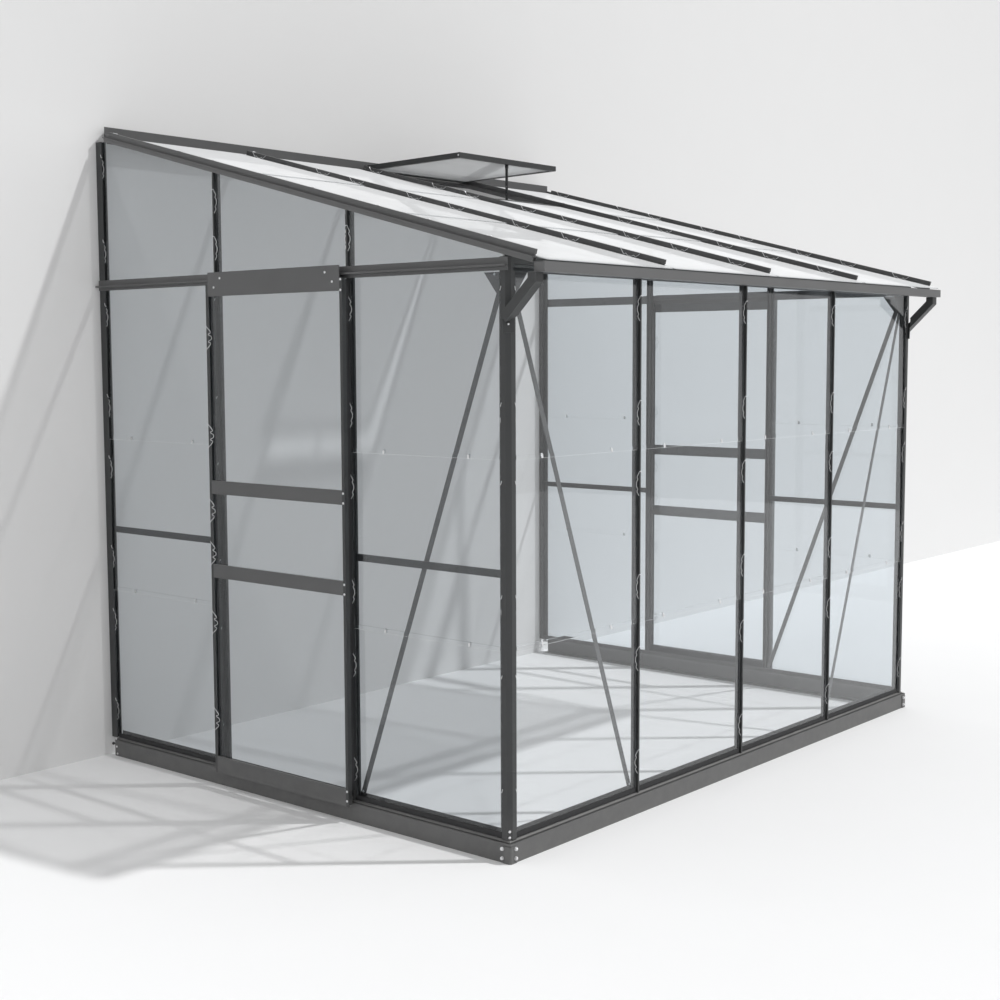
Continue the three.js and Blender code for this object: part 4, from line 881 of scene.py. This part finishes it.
def wall_seals(bm):
    foot = PANE_BOTTOM + SEAL_END_GAP
    for k in range(1, FRONT_BAYS):
        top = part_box(f"front_bar_{k}")[1][2] - SEAL_END_GAP
        lips(bm, front_face(k), SEAL_EDGE, (-1, 1), foot, top)
    for side, turn in SIDES.items():
        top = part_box("front_bar_1")[1][2] - SEAL_END_GAP
        lips(bm, front_end_face(turn), SEAL_EDGE_POST, (-turn,), foot, top)
        lips(bm, gable_face(side, BAR_LINE), SEAL_EDGE_POST, (1,), foot, top)
        for k in range(1, GABLE_BAYS):
            top = under_roof(k * BAY - SEAL_IN_BAR)
            lips(bm, gable_face(side, BAR_LINE + k * BAY), SEAL_EDGE, (-1, 1), foot, top)
        top = under_roof(GABLE_BAYS * BAY - SEAL_IN_POST)
        lips(bm, gable_face(side, WALL_POST_LINE), SEAL_EDGE_POST, (-1,), foot, top)


def roof_seals(bm):
    for k, sides in rafter_rows():
        lips(bm, roof_face(k), SEAL_EDGE, sides[::-1], ROOF_SEAL_START, ROOF_SEAL_END)


# Black strip outside the foot of the lowest panes
def foot_seals(bm):
    for k in range(FRONT_BAYS):
        start = FOOT_SEAL_AT_POST if k == 0 else FOOT_SEAL_AT_BAR
        end = FOOT_SEAL_AT_POST if k == FRONT_BAYS - 1 else FOOT_SEAL_AT_BAR
        cross_lath(bm, front_face(k), FOOT_SEAL, start, BAY - end)
    for side in SIDES:
        front_bay, wall_bay = gable_face(side, BAR_LINE), gable_face(side, BAR_LINE + 2 * BAY)
        cross_lath(bm, front_bay, FOOT_SEAL, FOOT_SEAL_AT_POST, BAY - FOOT_SEAL_AT_BAR)
        cross_lath(bm, wall_bay, FOOT_SEAL, FOOT_SEAL_AT_BAR, BAY - FOOT_SEAL_AT_POST)


# Brush strips on the backs of the stiles, which close the gaps to the bars
def door_brushes(side):
    def shape(bm):
        for turn in (-1, 1):
            edge = DOOR_MIDDLE + turn * DOOR_HALF
            strip = [(edge - turn * across, out) for across, out in BRUSH_SECTION]
            lath(bm, gable_face(side, 0), strip, BRUSH_FOOT, BRUSH_HEAD)
    return shape


# Bolts and screws

def outward(side):
    return Vector((SIDES[side], 0, 0))


def corner_way(side):
    return Vector((SIDES[side], -1, 0)).normalized()


def screw(bm, centre, axis):
    turned(bm, centre, axis, PAN_HEAD, SCREW_SIDES)


def nut(bm, centre, axis):
    turned(bm, centre, axis, WASHER, WASHER_SIDES)
    turned(bm, centre, axis, NUT, NUT_SIDES)


def thread_end(bm, centre, axis):
    turned(bm, centre, axis, THREAD_END, THREAD_SIDES)


# Places and directions of the nuts on the corner wraps
def wrap_nut_places():
    for side, turn in SIDES.items():
        for z in WRAP_NUT_HEIGHTS:
            yield Vector((turn * (HALF_SPAN + WRAP_FACE), BAR_LINE + WRAP_NUT_IN, z)), outward(side)
            yield Vector((turn * HALF_SPAN, BAR_LINE - WRAP_FRONT, z)), Vector((0, -1, 0))


# Places and directions of the nuts at the feet of the gutter brackets
def bracket_nut_places():
    for side, turn in SIDES.items():
        middle = Vector((turn * HALF_SPAN, BAR_LINE, BRACKET_NUT_HEIGHT))
        yield middle + corner_way(side) * BRACKET_OUT, corner_way(side)


# Dark nuts of the gutter brackets, and the bolts that hold the base to the wall
def frame_nuts(bm):
    for centre, way in bracket_nut_places():
        nut(bm, centre, way)
    x, y, z = ANCHOR_PLACE
    for turn in SIDES.values():
        turned(bm, Vector((turn * x, y, z)), Vector((0, 1, 0)), ANCHOR, THREAD_SIDES)


def frame_bolts(bm):
    for centre, way in wrap_nut_places():
        nut(bm, centre, way)
        thread_end(bm, centre, way)
    for centre, way in bracket_nut_places():
        thread_end(bm, centre, way)
    for side, turn in SIDES.items():
        for z in POST_SCREW_HEIGHTS:
            middle = Vector((turn * HALF_SPAN, BAR_LINE, z))
            screw(bm, middle + corner_way(side) * POST_OUT, corner_way(side))
        for y, z in BASE_END_SCREWS:
            screw(bm, Vector((turn * (HALF_SPAN + BASE_FACE), y, z)), outward(side))
        for y, z in GABLE_BRACE_SCREWS:
            screw(bm, Vector((turn * GABLE_BRACE_FACE, y, z)), outward(side))
        x, y, z = FRONT_BRACE_SCREW
        screw(bm, Vector((turn * x, y, z)), Vector((0, -1, 0)))


def vent_screws(bm):
    low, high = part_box("vent_frame")
    for x, way in ((low[0], -1), (high[0], 1)):
        for y, z in VENT_SCREWS:
            screw(bm, Vector((x, y, z)), Vector((way, 0, 0)))


def door_screws(side):
    def shape(bm):
        face = SIDES[side] * (HALF_SPAN + DOOR_FACE)
        for z in STILE_SCREW_HEIGHTS:
            screw(bm, Vector((face, DOOR_MIDDLE - (DOOR_HALF - STILE_FLANGE / 2), z)), outward(side))
        for turn in (-1, 1):
            for across, z in DOOR_PLATE_SCREWS:
                screw(bm, Vector((face, DOOR_MIDDLE + turn * across, z)), outward(side))
    return shape


def add_small_parts():
    new_piece("rafter_caps", rafter_caps, COAT, "structure")
    new_piece("pane_lap_edges", lap_edges, GLASS_EDGES, "structure")
    new_piece("front_wire_clips", front_clips, STEEL, "structure")
    new_piece("roof_wire_clips", roof_clips, STEEL, "structure")
    new_piece("front_lap_hooks", front_hooks, STEEL, "structure")
    new_piece("roof_lap_hooks", roof_hooks, STEEL, "structure")
    new_piece("frame_bolts", frame_bolts, STEEL, "structure")
    new_piece("frame_nuts", frame_nuts, DARK_STEEL, "structure")
    new_piece("vent_screws", vent_screws, STEEL, "vent")
    new_piece("wall_glazing_seals", wall_seals, RUBBER, "structure")
    new_piece("roof_glazing_seals", roof_seals, RUBBER, "structure")
    new_piece("foot_glazing_seals", foot_seals, RUBBER, "structure")
    for side in SIDES:
        new_piece(f"{side}_wire_clips", gable_clips(side), STEEL, "structure")
        new_piece(f"{side}_lap_hooks", gable_hooks(side), STEEL, "structure")
        new_piece(f"{side}_door_screws", door_screws(side), STEEL, f"{side}_door")
        new_piece(f"{side}_stile_clips", stile_clips(side), STEEL, f"{side}_door")
        new_piece(f"{side}_door_brushes", door_brushes(side), RUBBER, f"{side}_door")


# Floor, wall and light

def stage_plane(name, corners, colour, clear_back=False):
    mesh = bpy.data.meshes.new(name)
    mesh.from_pydata(corners, [], [(0, 1, 2, 3)])
    plane = bpy.data.objects.new(name, mesh)
    bpy.context.scene.collection.objects.link(plane)
    material, tree, shader = new_material(name)
    cloud = noise(tree, object_place(tree), STAGE_CLOUD_SIZE, STAGE_CLOUD_DETAIL)
    link(tree, mix_colour(tree, cloud, scaled(colour, STAGE_CLOUD_DARK), colour), shader.inputs["Base Color"])
    shader.inputs["Roughness"].default_value = STAGE_ROUGHNESS
    if clear_back:
        clear = tree.nodes.new("ShaderNodeBsdfTransparent").outputs[0]
        finish_surface(tree, mix_shaders(tree, geometry(tree, "Backfacing"), shader.outputs[0], clear))
    mesh.materials.append(material)


# The wall is clear from behind, so that the open back of the greenhouse can be seen.
def make_stage():
    reach, top, wall = STAGE_REACH, STAGE_TOP, WALL_LINE + STAGE_GAP
    stage_plane("floor", [(-reach, -reach, 0), (reach, -reach, 0), (reach, wall, 0), (-reach, wall, 0)],
                FLOOR_WHITE)
    stage_plane("wall", [(-reach, wall, 0), (reach, wall, 0), (reach, wall, top), (-reach, wall, top)],
                WALL_WHITE, clear_back=True)


def make_light():
    world = bpy.data.worlds.new("studio")
    bpy.context.scene.world = world
    world.use_nodes = True
    background = world.node_tree.nodes["Background"]
    background.inputs["Color"].default_value = (1.0, 1.0, 1.0, 1)
    background.inputs["Strength"].default_value = SKY_STRENGTH
    data = bpy.data.lights.new("sun", "SUN")
    data.energy = SUN_STRENGTH
    data.angle = SUN_ANGLE
    sun = bpy.data.objects.new("sun", data)
    bpy.context.scene.collection.objects.link(sun)
    turn = (-Vector(SUN_PLACE)).to_track_quat("-Z", "Y")
    sun.matrix_world = Matrix.Translation(SUN_PLACE) @ turn.to_matrix().to_4x4()


make_camera()
dress_nodes()
add_small_parts()
make_stage()
make_light()

scene = bpy.context.scene
scene.view_settings.view_transform = "Standard"
scene.cycles.max_bounces = LIGHT_BOUNCES
scene.cycles.transmission_bounces = LIGHT_BOUNCES
scene.cycles.transparent_max_bounces = LIGHT_BOUNCES
